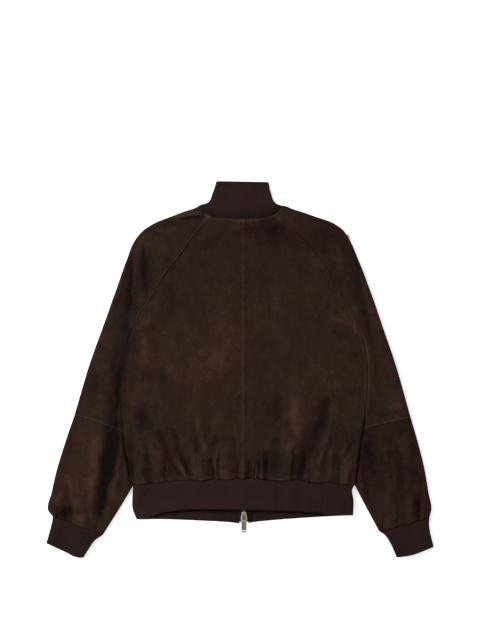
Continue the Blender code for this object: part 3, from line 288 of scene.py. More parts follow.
# Lighter and darker places: partly uneven nap, partly painted shade and painted light where folds, valleys
# and edges fall into shade or catch the light. Centre, half sizes, turn in degrees, tone in hundredths
PATCHES = [
    # x,    y, half_x, half_y, turn, tone
    # middle of the back
    (-70, 28, 74, 52, 10, 18), (40, 246, 26, 36, 20, 10), (92, 158, 64, 70, 0, 14),
    (-76, 140, 66, 60, 0, 10), (-30, 70, 26, 34, 0, 14),
    # along the left side
    (-208, 48, 9, 54, 0, 42), (-227, -70, 8, 70, -8, 24),
    # the top of the back, mostly darkened as painted shade
    (0, 290, 80, 26, 0, -34), (-60, 250, 60, 40, 0, -16), (60, 220, 60, 60, 0, -16),
    (200, 290, 60, 40, -30, -30), (-130, 250, 60, 50, 0, -16), (-164, 284, 34, 26, 0, 16),
    (-120, 232, 30, 22, -30, 10), (-150, 176, 24, 44, 0, -22), (-110, 96, 24, 50, 0, -10),
    (-188, -20, 26, 60, 0, 6), (-206, -108, 20, 36, 0, -34), (-128, -118, 40, 30, 0, -6),
    (-76, -60, 50, 40, 0, 10), (-48, -118, 16, 30, 0, 12),
    # painted shade under the right of the collar
    (70, 312, 36, 26, -20, -24), (54, 302, 52, 18, 0, -42), (96, 304, 14, 14, 0, -20),
    (-146, 296, 24, 14, 0, -22), (-100, 302, 12, 16, 0, -24), (-206, 236, 20, 56, 0, -22),
    (-100, 168, 28, 38, 0, -36), (-72, 118, 16, 30, 0, -24), (-64, 264, 20, 16, 0, -20),
    (142, 262, 26, 16, 0, -24), (138, 204, 14, 22, 0, -24), (86, 204, 14, 18, 0, -26),
    (-146, 128, 14, 36, 0, -40), (-192, 204, 12, 24, 0, -24), (-222, 156, 7, 20, 0, -30),
    (-62, 36, 20, 26, 0, -22), (60, 164, 15, 44, 0, -36), (134, 6, 18, 26, 0, -24),
    (-168, -26, 13, 26, 0, -66), (-194, -14, 15, 22, 0, -42), (112, -172, 11, 22, -16, 42),
    (162, -176, 9, 20, -20, -40), (90, -228, 18, 10, 0, -34), (208, -196, 12, 18, 0, -30),
    (206, -166, 10, 12, 0, -16), (92, -108, 16, 26, 0, -36), (-30, -150, 10, 14, 0, -24),
    (-94, -176, 10, 16, 0, -30), (182, -206, 16, 24, 0, -26), (-322, -310, 16, 16, 0, 26),
    (96, 282, 40, 22, -35, -22), (20, 200, 22, 30, 0, -8), (204, 196, 22, 40, 40, -24),
    (122, 96, 30, 34, 0, -6), (160, 20, 40, 50, 0, 6), (232, 122, 22, 26, 0, 26),
    # lighter ends of the right raglan seam, partly rubbed nap and partly painted highlight
    (248, 90, 4, 13, 18, 70), (226, 114, 4, 8, 30, 50),
    # painted light on the ridge above the slanting fold, painted shade in the fold and over the puffs at
    # the hem
    (118, -84, 18, 52, -4, 28), (102, -178, 12, 22, 0, -6), (62, -92, 14, 34, 12, -26),
    (56, -206, 34, 22, 0, -80), (174, -120, 17, 54, -22, -44), (132, -204, 24, 30, -20, -34),
    (206, -30, 34, 22, 0, 22), (214, -150, 26, 40, 0, 2), (-206, -212, 44, 32, 0, -56),
    (-90, -200, 34, 24, 0, -16),
    # left sleeve, with painted shade down its long valley and along its outer side
    (-304, 20, 22, 90, -16, -34), (-338, -60, 24, 50, -16, -34), (-364, -200, 22, 74, -14, -26),
    (-312, -190, 15, 60, -12, 44), (-330, -276, 18, 30, 0, 20), (-377, -308, 20, 18, 0, -125),
    (-404, -300, 8, 26, 0, 30), (-345, -322, 12, 12, 0, 30), (-236, -198, 10, 30, -10, -22),
    (-237, 160, 12, 84, -5, -56), (-260, -42, 17, 88, -9, -62), (-277, -176, 16, 48, -9, -130),
    (-295, -258, 11, 56, -13, -110), (-203, 214, 7, 60, 0, -40), (-204, 250, 16, 40, 0, 10),
    # right sleeve, with painted shade in the valley by the raglan seam, beside the body's edge and below
    # the elbow seam
    (236, 262, 30, 50, 12, -6), (258, 180, 11, 60, 8, -32), (273, 98, 12, 46, 18, -42),
    (226, 232, 10, 30, 6, -22), (292, 120, 20, 60, 14, 10), (300, 20, 40, 60, 14, -10),
    (344, -60, 20, 40, 14, 16), (322, -186, 62, 62, 0, -38), (374, -262, 34, 40, 0, -10),
    (338, -246, 12, 14, 0, 14), (330, -312, 20, 20, 0, -14), (292, -40, 22, 30, 0, 20),
    (347, -126, 22, 10, 12, -34), (270, -172, 14, 30, 8, -34), (316, -196, 12, 40, 6, 22),
    (327, -252, 10, 18, 0, 34), (386, -288, 7, 26, 0, -42), (268, -220, 20, 50, 20, -20),
    # where the raglan seams meet the collar
    (-69, 330, 6, 5, 0, 70), (85, 326, 7, 6, -40, 70), (-120, 333, 40, 5, 2, 12),
]


def cloth():
    """The sizes of the cloth that the sidebar shows."""
    return bpy.context.scene.blouson_cloth


def suede_wall():
    return cloth().suede_thickness / MM


def rib_wall():
    return cloth().rib_thickness / MM


def smooth(value):
    """0 below 0, 1 above 1 and an S-shaped rise between them."""
    value = np.clip(value, 0.0, 1.0)
    return value * value * (3.0 - 2.0 * value)


def bell(away, width):
    """1 at 0, falling to about a third at the width on either side."""
    return np.exp(-(away / width) ** 2)


def pairs(x, y):
    return np.stack([x, y], axis=-1)


def sums(steps):
    """How far each point is along a line of steps, from 0."""
    return np.concatenate([[0.0], np.cumsum(steps)])


def spacing(line):
    """The steps between the points of a line in plan."""
    return np.hypot(*np.diff(line, axis=0).T)


def unit(moves):
    return moves / np.maximum(np.hypot(*moves.T)[:, None], 1e-9)


def curve(points):
    """A function from 0..1 to points spaced evenly along a smooth line through the given ones."""
    points = np.array(points, float)
    knots = sums(spacing(points))
    if len(points) > 2:
        slopes = np.gradient(points, knots, axis=0)
    else:
        slopes = np.repeat((points[1:] - points[:1]) / knots[-1], 2, axis=0)
    dense = np.linspace(0.0, knots[-1], 40 * len(points))
    span = np.clip(np.searchsorted(knots, dense, side="right") - 1, 0, len(points) - 2)
    length = (knots[span + 1] - knots[span])[:, None]
    t = (dense[:, None] - knots[span][:, None]) / length
    line = ((2 * t ** 3 - 3 * t ** 2 + 1) * points[span]
            + (t ** 3 - 2 * t ** 2 + t) * length * slopes[span]
            + (3 * t ** 2 - 2 * t ** 3) * points[span + 1]
            + (t ** 3 - t ** 2) * length * slopes[span + 1])
    run = sums(spacing(line))
    run = run / run[-1]

    def at(fraction):
        fraction = np.asarray(fraction, float)
        return pairs(np.interp(fraction, run, line[:, 0]), np.interp(fraction, run, line[:, 1]))

    return at


def part_of(line, start, end):
    """The stretch of a curve between two of its fractions, as a curve of its own."""
    def at(fraction):
        return line(start + (end - start) * np.asarray(fraction, float))

    return at


def where(line, x):
    """The fraction of a curve at which it reaches an x."""
    fractions = np.linspace(0.0, 1.0, 2001)
    along = line(fractions)[:, 0]
    order = np.argsort(along)
    return float(np.interp(x, along[order], fractions[order]))


def rows_by_height(line, heights):
    """Points of a falling curve at the given heights y."""
    points = line(np.linspace(0.0, 1.0, 2001))
    return pairs(np.interp(heights, points[::-1, 1], points[::-1, 0]), heights)


def stations(*stretches):
    """Fractions from 0 to 1 in stretches, each an end and the number of steps up to it."""
    found = [np.zeros(1)]
    start = 0.0
    for end, steps in stretches:
        found.append(np.linspace(start, end, steps + 1)[1:])
        start = end
    return np.concatenate(found)


NECK = curve(NECK_BACK)
NECK_UNDER = curve(NECK_FRONT)
HEM = curve(HEM_BACK)
HEM_UNDER = curve(HEM_FRONT)
RAGLAN = stations((0.07, 16), (1.0, 88))
BELOW_SWAP = stations((0.86, 86), (1.0, 34))[1:]
SWAP_STEPS = 14
UNDERARM = stations((0.9, 42), (1.0, 14))[1:]
FOREARM = stations((0.06, 12), (0.90, 66), (1.0, 22))
CUFF_ROWS = stations((0.12, 9), (0.88, 24), (1.0, 9))
BAND_ROWS = stations((0.11, 7), (0.92, 9), (1.0, 5))
COLLAR_ROWS = stations((0.12, 9), (0.93, 22), (1.0, 7))


class Side:
    """The lines of the left or the right half, with the stations that its pieces share."""

    def __init__(self, name, sign, table):
        self.name = name
        self.sign = sign
        self.table = table
        self.end = 0.0 if sign < 0 else 1.0
        self.neck_raglan = where(NECK, table["neck_raglan_x"])
        self.front_raglan_at = where(NECK_UNDER, table["front_raglan_x"])
        start = NECK(self.neck_raglan)
        front_start = NECK_UNDER(self.front_raglan_at)
        self.raglan = curve([tuple(start)] + table["back_raglan"])(RAGLAN)
        self.front_raglan = curve([tuple(front_start)] + table["front_raglan"])(RAGLAN)
        self.underarm_y = table["side"][0][1]
        swap = self.underarm_y - np.linspace(0, SWAP, SWAP_STEPS + 1)
        hem_y = table["side"][-1][1]
        rest = swap[-1] + (hem_y - swap[-1]) * BELOW_SWAP
        self.side = rows_by_height(curve(table["side"]), np.concatenate([swap, rest]))
        beside = self.side[1:SWAP_STEPS + 1] - np.array([self.sign * 0.4, 0.0])
        lower = curve([tuple(beside[-1])] + table["underarm"])(UNDERARM)
        self.underarm = np.concatenate([self.side[:1], beside, lower])
        self.forearm = curve(table["forearm"])(FOREARM)
        band = curve(table["band"])(np.linspace(0, 1, 40))[1:]
        self.edge = np.concatenate([self.side, band])
        self.sleeve_edge = np.concatenate([self.underarm, self.forearm[1:]])

    def edge_x(self, y):
        """x of the edge of the body and the hem band at a height."""
        return np.interp(y, self.edge[::-1, 1], self.edge[::-1, 0])

    def lift(self, x, y):
        """How far the body is raised by the sleeve below it."""
        sleeve = np.interp(y, self.sleeve_edge[::-1, 1], self.sleeve_edge[::-1, 0])
        over = self.sign * (x - sleeve)
        below = smooth((self.underarm_y - y) / RISE_RUN)
        return BODY_LIFT * smooth((over + LIFT_START) / LIFT_RUN) * below

    def sleeve_top(self, x, y):
        """Height of the upper layer of the sleeve, low where the body lies on it."""
        free = np.maximum(lie(x, y), HIDDEN_SLEEVE)
        past = self.sign * (x - self.edge_x(y))
        low = HIDDEN_SLEEVE + (free - HIDDEN_SLEEVE) * smooth((past - SHOWN_MARGIN) / SHOWN_RUN)
        below = smooth((self.underarm_y - y) / LEVEL_RUN)
        return free + (low - free) * below


LEFT = Side("left", -1, LEFT_LINES)
RIGHT = Side("right", 1, RIGHT_LINES)


def distance_to(line, x, y):
    """Plan distance from points to a line of points."""
    shape = np.shape(x)
    spot = pairs(np.ravel(x), np.ravel(y))[:, None, :]
    a = line[None, :-1]
    step = (line[1:] - line[:-1])[None]
    t = ((spot - a) * step).sum(axis=-1) / np.maximum((step ** 2).sum(axis=-1), 1e-9)
    gap = spot - a - np.clip(t, 0.0, 1.0)[..., None] * step
    return np.sqrt((gap ** 2).sum(axis=-1).min(axis=1)).reshape(shape)


SPAN = np.linspace(0.0, 1.0, 60)
NECK_LINE = NECK(SPAN)
HEM_LINE = HEM(SPAN)
RAGLANS = [side.raglan[::3] for side in (LEFT, RIGHT)]
ELBOWS = [curve(side.table["elbow"])(SPAN[::2]) for side in (LEFT, RIGHT)]
CUFF_LINES = [curve(side.table["cuff_seam"])(SPAN[::2]) for side in (LEFT, RIGHT)]


def nearest(lines, x, y):
    """Distance to the nearest of some lines, or a great one if there are none."""
    return np.min([np.full(np.shape(x), 1000.0)] + [distance_to(line, x, y) for line in lines],
                  axis=0)


def noise(x, y, size, seed):
    """Soft random relief from about -1 to 1, with lumps about as wide as size."""
    u = np.asarray(x, float) / size + 100.0
    v = np.asarray(y, float) / size + 100.0
    i = np.floor(u).astype(np.int64)
    j = np.floor(v).astype(np.int64)
    total = 0.0
    for di in (0, 1):
        for dj in (0, 1):
            key = ((i + di) * 374761393 + (j + dj) * 668265263 + seed * 1442695) & 0xFFFFFFFF
            key = ((key ^ (key >> 13)) * 1274126177) & 0xFFFFFFFF
            angle = ((key ^ (key >> 16)) & 0xFFFF) / 65536.0 * 2.0 * math.pi
            p = u - i - di
            q = v - j - dj
            weight = smooth(1.0 - np.abs(p)) * smooth(1.0 - np.abs(q))
            total += weight * (np.cos(angle) * p + np.sin(angle) * q)
    return total * 1.9


def folds(rows, x, y):
    """Sum of a table's ridges and valleys."""
    height = np.zeros(np.shape(x))
    for x0, y0, x1, y1, half_width, rise in rows:
        dx = x1 - x0
        dy = y1 - y0
        t = np.clip(((x - x0) * dx + (y - y0) * dy) / (dx * dx + dy * dy), 0.0, 1.0)
        away = np.hypot(x - x0 - t * dx, y - y0 - t * dy)
        height += rise * bell(away, half_width)
    return height


def creases(x, y):
    """Sum of the finer creases, each widest and deepest in its middle and not quite straight."""
    height = np.zeros(np.shape(x))
    x = x + 3.4 * noise(x, y, 27, 11) + 1.3 * noise(x, y, 9, 12)
    y = y + 3.4 * noise(x, y, 27, 13)
    for x0, y0, x1, y1, half_width, rise in CREASES:
        dx = x1 - x0
        dy = y1 - y0
        length = math.hypot(dx, dy)
        t = ((x - x0) * dx + (y - y0) * dy) / length ** 2
        across = ((x - x0) * dy - (y - y0) * dx) / length
        belly = np.clip(1.0 - (2.0 * t - 1.0) ** 2, 0.0, 1.0)
        width = half_width * (0.5 + 0.6 * belly)
        height += rise * smooth(1.25 * belly) * bell(across, width)
    return height


def uneven(x, y):
    """Small soft unevenness of worn suede: broad lumps, slanting wrinkles and a fine handle."""
    bend_x = x + 9.0 * noise(x, y, 46, 3)
    bend_y = y + 9.0 * noise(x, y, 46, 4)
    broad = 0.55 * noise(bend_x, bend_y, 62, 5) + 0.35 * noise(bend_x, bend_y, 27, 6)
    wrinkle = 0.26 * (1.0 - np.abs(noise(bend_x * 1.5, bend_y * 0.7, 21, 7))) ** 3
    handle = 0.10 * noise(x, y, 8, 8) + 0.05 * noise(x, y, 4, 9)
    return broad - wrinkle + handle


LAP = (3.6, 2.6)   # how far the centre-back seam's band reaches to the left and the right


def lapped(x):
    """Height share of the centre-back seam, whose left half laps over the right one."""
    past = x - CENTRE
    return smooth((past + LAP[0] + 2.6) / 2.6) * (1.0 - smooth((past - LAP[1]) / 0.9))


def seam_relief(x, y, sleeve):
    """What the seams add: lapped and felled bands with sunk stitching, puckers and joins."""
    felled = nearest(RAGLANS, x, y)
    plain = nearest(ELBOWS if sleeve else (), x, y)
    ribbed = nearest([NECK_LINE] + (CUFF_LINES if sleeve else [HEM_LINE]), x, y)
    centre = np.full(np.shape(x), 1000.0) if sleeve else np.abs(x - CENTRE)
    height = cloth().felled_height / MM
    band = height * (1.0 - smooth((felled - 4.4) / 2.2))
    if not sleeve:
        band = band + 1.3 * height * lapped(x)
    plump = 0.8 * height * (1.0 - smooth((plain - 3.4) / 2))
    sunk = sum(bell(d - 2.5, 0.8) for d in (felled, plain, centre))
    join = bell(felled, 0.8) + bell(plain, 0.9)
    near = bell(np.minimum(np.minimum(felled, plain), centre), 13)
    pucker = 0.38 * noise(x, y, 7.5, 21) * near
    dip = -2.4 * bell(ribbed, 2.4) + 0.7 * bell(ribbed - 5.4, 2.8)
    return band + plump - 0.32 * sunk - 0.8 * join + pucker + dip


def lie(x, y):
    """Height of the upper layer of suede, before it is raised over a sleeve."""
    depth = cloth().crease_depth
    return LOFT + folds(FOLDS, x, y) + depth * (creases(x, y) + uneven(x, y))


def lift(x, y):
    """How far the body is raised, by whichever sleeve is nearer."""
    return np.where(x < CENTRE, LEFT.lift(x, y), RIGHT.lift(x, y))


def body_top(x, y):
    """Height of the upper layer of the body."""
    raised = lift(x, y)
    height = np.maximum(lie(x, y) + LIFT_SHARE * raised, 2 * PANEL + raised + SEAM)
    return np.maximum(height, LOW_LOFT) + seam_relief(x, y, False)


def sleeve_face(side):
    """The upper layer of a sleeve with its seams."""
    def face(x, y):
        return side.sleeve_top(x, y) + seam_relief(x, y, True)

    return face


def rib_dip(x, y):
    """How the rib falls into its seams with the suede."""
    ribbed = nearest([NECK_LINE, HEM_LINE] + CUFF_LINES, x, y)
    return -1.7 * bell(ribbed, 2.2) + 0.35 * noise(x, y, 34, 31)


def band_top(x, y):
    """Height of the upper layer of the hem band."""
    over_zip = BAND_OVER_ZIP * bell(x - CENTRE, TAPE_REACH)
    height = np.maximum(RIB_LOFT + over_zip, 2 * RIB_ROOM + lift(x, y) + 2 * SEAM)
    return height + rib_dip(x, y)


def collar_top(x, y):
    """Height of the upper layer of the collar, which falls to its top edge."""
    fall = smooth((COLLAR_FALL[0] - y) / COLLAR_FALL[1])
    return LOFT + folds(FOLDS, x, y) * fall + rib_dip(x, y)


def cuff_top(x, y):
    return CUFF_LOFT + rib_dip(x, y)


def ground(x, y):
    """Underside of what rests on the surface."""
    return np.zeros(np.shape(x))


def pushed(points):
    """Moves points in plan where puffs push a seam outwards."""
    moved = points.copy()
    for x, y, radius, dx, dy in BULGES:
        near = np.exp(-((points[..., 0] - x) ** 2 + (points[..., 1] - y) ** 2) / radius ** 2)
        moved[..., 0] += dx * near
        moved[..., 1] += dy * near
    return moved


def roll(radius, wall, amount, steps):
    """Across a rounded edge: outer distance, inner distance and share of the half height."""
    angle = np.linspace(0.0, math.pi / 2, steps + 1)[None, :]
    outer = radius * (1 - np.cos(angle)) + 0 * amount
    inner = outer + amount * wall * np.cos(angle)
    share = 1 - amount * (1 - np.sin(angle))
    return outer, inner, share


def patch(first, last, left, right, v, f):
    """Points inside four border lines; v runs down the rows and f across them."""
    v = v[..., None]
    f3 = f[..., None]
    ruled = (1 - v) * first(f) + v * last(f) + (1 - f3) * left[:, None] + f3 * right[:, None]
    corners = ((1 - v) * ((1 - f3) * first(0.0) + f3 * first(1.0))
               + v * ((1 - f3) * last(0.0) + f3 * last(1.0)))
    return ruled - corners


def layer(first, last, left, right, wall, flat, right_roll, left_roll=None, steps=8):
    """Plan points of one layer of cloth, as outer points, inner points and height shares.

    first and last are the curves of the end rows; left and right hold a point for each row.
    flat spaces the columns between the rolls, from 0 to 1, alike or for each row.  A roll is
    its radius and, for each row, 1 where the edge is rolled and 0 where it is flat.
    """
    width = np.hypot(*(right - left).T)[:, None]
    run = sums(spacing(left) + spacing(right))
    v = (run / run[-1])[:, None]
    if isinstance(flat, int):
        flat = np.linspace(0.0, 1.0, flat + 1)[None, :]
    start = 0.0
    groups = []
    if left_roll:
        groups.append(roll(left_roll[0], wall, left_roll[1], steps))
        start = left_roll[0]
    middle = start + (width - right_roll[0] - start) * flat
    middle = middle[:, 1 if left_roll else 0:-1]
    groups.append((middle, middle, np.ones_like(middle)))
    outer, inner, share = roll(right_roll[0], wall, right_roll[1], steps)
    groups.append((width - outer[:, ::-1], width - inner[:, ::-1], share[:, ::-1]))
    share = np.concatenate([group[2] for group in groups], axis=1)
    plans = []
    for index in (0, 1):
        f = np.concatenate([group[index] for group in groups], axis=1) / width
        plans.append(patch(first, last, left, right, v, f))
    return plans[0], plans[1], share


def seam_shift(edge, beside):
    """Moves from a seam's points towards the next line of points, half a seam gap square to it."""
    along = np.gradient(edge, axis=0)
    normal = unit(pairs(-along[:, 1], along[:, 0]))
    inward = unit(beside - edge)
    square = np.maximum(np.abs((inward * normal).sum(axis=1)), 0.45)[:, None]
    return inward * SEAM / 2 / square


TUCKED = -1.6   # a rib's seam edge lies just under the suede instead of short of it


def inset(outer, inner, first=1.0, last=1.0, left=None, right=None):
    """Draws a layer's borders in from its seams; left and right are 0..1 for each row."""
    outer_in = outer.copy()
    inner_in = inner.copy()
    moves = []
    moves.append((np.s_[0, :], first * seam_shift(outer[0], outer[1])))
    moves.append((np.s_[-1, :], last * seam_shift(outer[-1], outer[-2])))
    if left is not None:
        moves.append((np.s_[:, 0], seam_shift(outer[:, 0], outer[:, 1]) * left[:, None]))
    if right is not None:
        moves.append((np.s_[:, -1], seam_shift(outer[:, -1], outer[:, -2]) * right[:, None]))
    for place, move in moves:
        outer_in[place] += move
        inner_in[place] += move
    return outer_in, inner_in


def raise_layer(outer, inner, share, wall, face, seat, upper, gap):
    """Heights for a layer's points; a rolled edge comes down (or up) to the middle height."""
    middle = np.empty(share.shape)
    half = share.shape[1] // 2
    for columns, edge in ((np.s_[:, :half], 0), (np.s_[:, half:], -1)):
        x = outer[:, edge, 0]
        y = outer[:, edge, 1]
        middle[columns] = ((face(x, y) + seat(x, y)) / 2)[:, None]
    sign = 1.0 if upper else -1.0
    middle = middle + sign * gap
    skin = face if upper else seat
    outer_z = middle + (skin(outer[..., 0], outer[..., 1]) - middle) * share
    inner_z = middle + (skin(inner[..., 0], inner[..., 1]) - sign * wall - middle) * share
    return np.dstack([pushed(outer), outer_z]), np.dstack([pushed(inner), inner_z])


def join_layers(*layers):
    """Joins layers across, each sharing its first line of points with the one before."""
    outer = [layers[0][0]]
    inner = [layers[0][1]]
    for points, behind in layers[1:]:
        outer.append(points[:, 1:])
        inner.append(behind[:, 1:])
    return np.concatenate(outer, axis=1), np.concatenate(inner, axis=1)


def zip_edge(heights, sign):
    """Edge of a front beside the zip, which opens out towards both ends."""
    low = smooth((heights - FLARE_LOW) / (ZIP_BOTTOM - FLARE_LOW))
    high = smooth((heights - FLARE_HIGH) / (ZIP_TOP - FLARE_HIGH))
    return pairs(CENTRE + sign * (ZIP_SLOT + ZIP_FLARE * (low + high)), heights)


def body_rows(top_y, side_line, bottom_y):
    """Heights along the centre that keep pace with the stations down a side."""
    share = (side_line[:, 1] - side_line[0, 1]) / (side_line[-1, 1] - side_line[0, 1])
    return top_y + (bottom_y - top_y) * share


def rolled_rows(count, flat_rows):
    """For each row, how far its edge is rolled: not at all along the raglan seam, then fully."""
    return smooth((np.arange(count) - flat_rows + 1) / 9)[:, None]


def even_edges(width, dense, dense_steps, steps):
    """Spacing across rows of the given widths, with close columns along both edges."""
    a = np.minimum(dense / width, 0.25)[:, None]
    close = np.linspace(0.0, 1.0, dense_steps + 1)[None, :]
    middle = np.linspace(0.0, 1.0, steps + 1)[None, 1:]
    return np.concatenate([a * close, a + (1.0 - 2.0 * a) * middle,
                           1.0 - a + a * close[:, 1:]], axis=1)


def body_panel(side, neck, hem, raglan_at, outline, flat_rows, middle, columns, radius, upper):
    """Half of the back or of the front, from its middle edge to its raglan and side seams.

    middle is the x of the middle edge at the neck, and a function that gives its points.
    """
    rolled = rolled_rows(len(outline), flat_rows)
    neck_at = where(neck, middle[0])
    hem_at = where(hem, middle[0])
    heights = body_rows(neck(neck_at)[1], outline, hem(hem_at)[1])
    outer, inner, share = layer(part_of(neck, neck_at, raglan_at), part_of(hem, hem_at, side.end),
                                middle[1](heights), outline, suede_wall(), columns,
                                (radius, rolled))
    outer, inner = inset(outer, inner, left=np.full(len(outline), float(upper)),
                         right=1.0 - rolled[:, 0])
    return raise_layer(outer, inner, share, suede_wall(), body_top, lift, upper,
                       SEAM / 2 * rolled)


@once
def back_panel(side):
    outline = np.concatenate([side.raglan, side.side[1:]])
    width = np.abs(outline[:, 0] - CENTRE) - SEAM_ROLL
    return body_panel(side, NECK, HEM, side.neck_raglan, outline, len(side.raglan),
                      (CENTRE, lambda y: pairs(np.full(len(y), CENTRE), y)),
                      even_edges(width, 9.0, 11, 78), SEAM_ROLL, True)


@once
def front_panel(side):
    outline = np.concatenate([side.front_raglan, side.side[1:]])[::2]
    return body_panel(side, NECK_UNDER, HEM_UNDER, side.front_raglan_at, outline,
                      len(side.front_raglan) // 2 + 1,
                      (CENTRE + side.sign * ZIP_SLOT, lambda y: zip_edge(y, side.sign)),
                      40, UNDER_ROLL, False)


def sleeve_columns(side, rows_top, overarm):
    """Spacing of a sleeve's columns, close along its inner edge and about the body's edge."""
    share = np.linspace(0.0, 1.0, 201)[:, None, None]
    points = rows_top[None] + (overarm - rows_top)[None] * share
    covered = side.sign * (points[..., 0] - side.edge_x(points[..., 1])) < SHOWN_MARGIN
    width = np.hypot(*(overarm - rows_top).T)
    span = width - SEAM_ROLL - FOLD_ROLL
    edge = (covered.sum(axis=0) / 200.0 * width - SEAM_ROLL) / span
    edge = np.clip(edge, np.where(rows_top[:, 1] > side.underarm_y - 1.0, 0.2, 0.04), 0.6)
    edge = np.convolve(np.pad(edge, 4, mode="edge"), np.ones(9) / 9.0, mode="valid")
    beyond = np.clip(edge + 14.0 / span, edge + 0.08, 0.75)
    near = np.minimum(9.0 / span, edge * 0.5)
    marks = [(0.0 * edge, near, 11), (near, edge, 11), (edge, beyond, 8), (beyond, 1 + 0 * edge, 36)]
    columns = [0.0 * edge]
    for start, end, steps in marks:
        columns += [start + (end - start) * step / steps for step in range(1, steps + 1)]
    return np.stack(columns, axis=1)


def half_gap(share, rolled):
    """Half a seam gap in height for the rolled columns of the inner edge, nothing at the fold."""
    gap = np.zeros(share.shape)
    gap[:, :share.shape[1] // 2] = SEAM / 2
    return gap * rolled


def tube(firsts, last, rows, fold, rolled, wall, face, columns, steps, first=1.0, end=1.0):
    """A piece that runs from its inner edge over the fold at its outer edge and back below.

    firsts, rows, columns and steps each hold the upper layer's value and the lower one's.
    """
    whole = np.ones_like(rolled)
    made = []
    for index, rolls in enumerate(((SEAM_ROLL, FOLD_ROLL), (UNDER_ROLL, UNDER_ROLL))):
        outer, inner, share = layer(firsts[index], last, rows[index], fold, wall, columns[index],
                                    (rolls[1], whole), (rolls[0], rolled), steps[index])
        outer, inner = inset(outer, inner, first=first, last=end, left=1.0 - rolled[:, 0])
        made.append(raise_layer(outer, inner, share, wall, face, ground, index == 0,
                                half_gap(share, rolled)))
    above, below = made
    return join_layers(above, (below[0][:, ::-1], below[1][:, ::-1]))


def sleeve(side, rows, fold, firsts, last, rolled):
    """A sleeve panel, whose rows and first seam differ between its two layers."""
    return tube(firsts, last, rows, fold, rolled, suede_wall(), sleeve_face(side),
                (sleeve_columns(side, rows[0], fold), 12), (10, 6))


@once
def upper_sleeve(side):
    rows_top = np.concatenate([side.raglan, side.underarm[1:]])
    rows_under = np.concatenate([side.front_raglan, side.underarm[1:]])
    overarm = curve(side.table["overarm"])
    fractions = np.linspace(0.0, 1.0, 401)
    axis = overarm(1.0) - overarm(0.6)
    axis = axis / np.hypot(*axis)
    abreast = float(np.interp(side.raglan[-1] @ axis, overarm(fractions) @ axis, fractions))
    below = (side.underarm - side.raglan[-1]) @ axis
    share = np.concatenate([abreast * RAGLAN, abreast + (1.0 - abreast) * below[1:] / below[-1]])
    rolled = rolled_rows(len(rows_top), len(side.raglan))
    return sleeve(side, (rows_top, rows_under), overarm(share),
                  (part_of(NECK, side.neck_raglan, side.end),
                   part_of(NECK_UNDER, side.front_raglan_at, side.end)),
                  curve(side.table["elbow"]), rolled)


@once
def lower_sleeve(side):
    elbow = curve(side.table["elbow"])
    overarm = curve(side.table["overarm_low"])(FOREARM)
    return sleeve(side, (side.forearm, side.forearm), overarm, (elbow, elbow),
                  curve(side.table["cuff_seam"]), np.ones((len(FOREARM), 1)))


TURNED = 1.3   # radius of a rib's turned end


def rounded_end(outer, inner):
    """Rounds the last row of a rib, where the knit is turned over."""
    steps = np.diff(outer, axis=0)
    run = np.sqrt((steps ** 2).sum(axis=-1))
    left = np.concatenate([np.cumsum(run[::-1], axis=0)[::-1], np.zeros((1, run.shape[1]))])
    near = np.clip(left / TURNED, 0.0, 1.0)
    share = (0.12 + 0.88 * np.sqrt(1.0 - (1.0 - near) ** 2))[..., None]
    middle = (outer + inner) / 2
    return middle + (outer - middle) * share, middle + (inner - middle) * share


def ribs_in(width):
    """Number of whole ribs in a width in millimetres."""
    return int(round(width * MM / cloth().rib_pitch))


RIB_STEPS = 4         # columns for each rib
RIB_ROLL_STEPS = 18   # and over the roll at a fold


@once
def cuff(side):
    inner_edge = curve(side.table["cuff_inner"])(CUFF_ROWS)
    outer_edge = curve(side.table["cuff_outer"])(CUFF_ROWS)
    first = curve(side.table["cuff_seam"])
    width = np.hypot(*(outer_edge[9] - inner_edge[9]))
    columns = (RIB_STEPS * ribs_in(width - 10.0), 2 * ribs_in(width))
    outer, inner = tube((first, first), curve(side.table["cuff_end"]), (inner_edge, inner_edge),
                        outer_edge, np.ones((len(CUFF_ROWS), 1)), rib_wall(), cuff_top, columns,
                        (RIB_ROLL_STEPS, 6), first=TUCKED, end=0.0)
    return rounded_end(outer, inner)


BAND_WIDTHS = (470.0, 226.0)     # across the back, and across each front
COLLAR_WIDTHS = (128.0, 84.0)


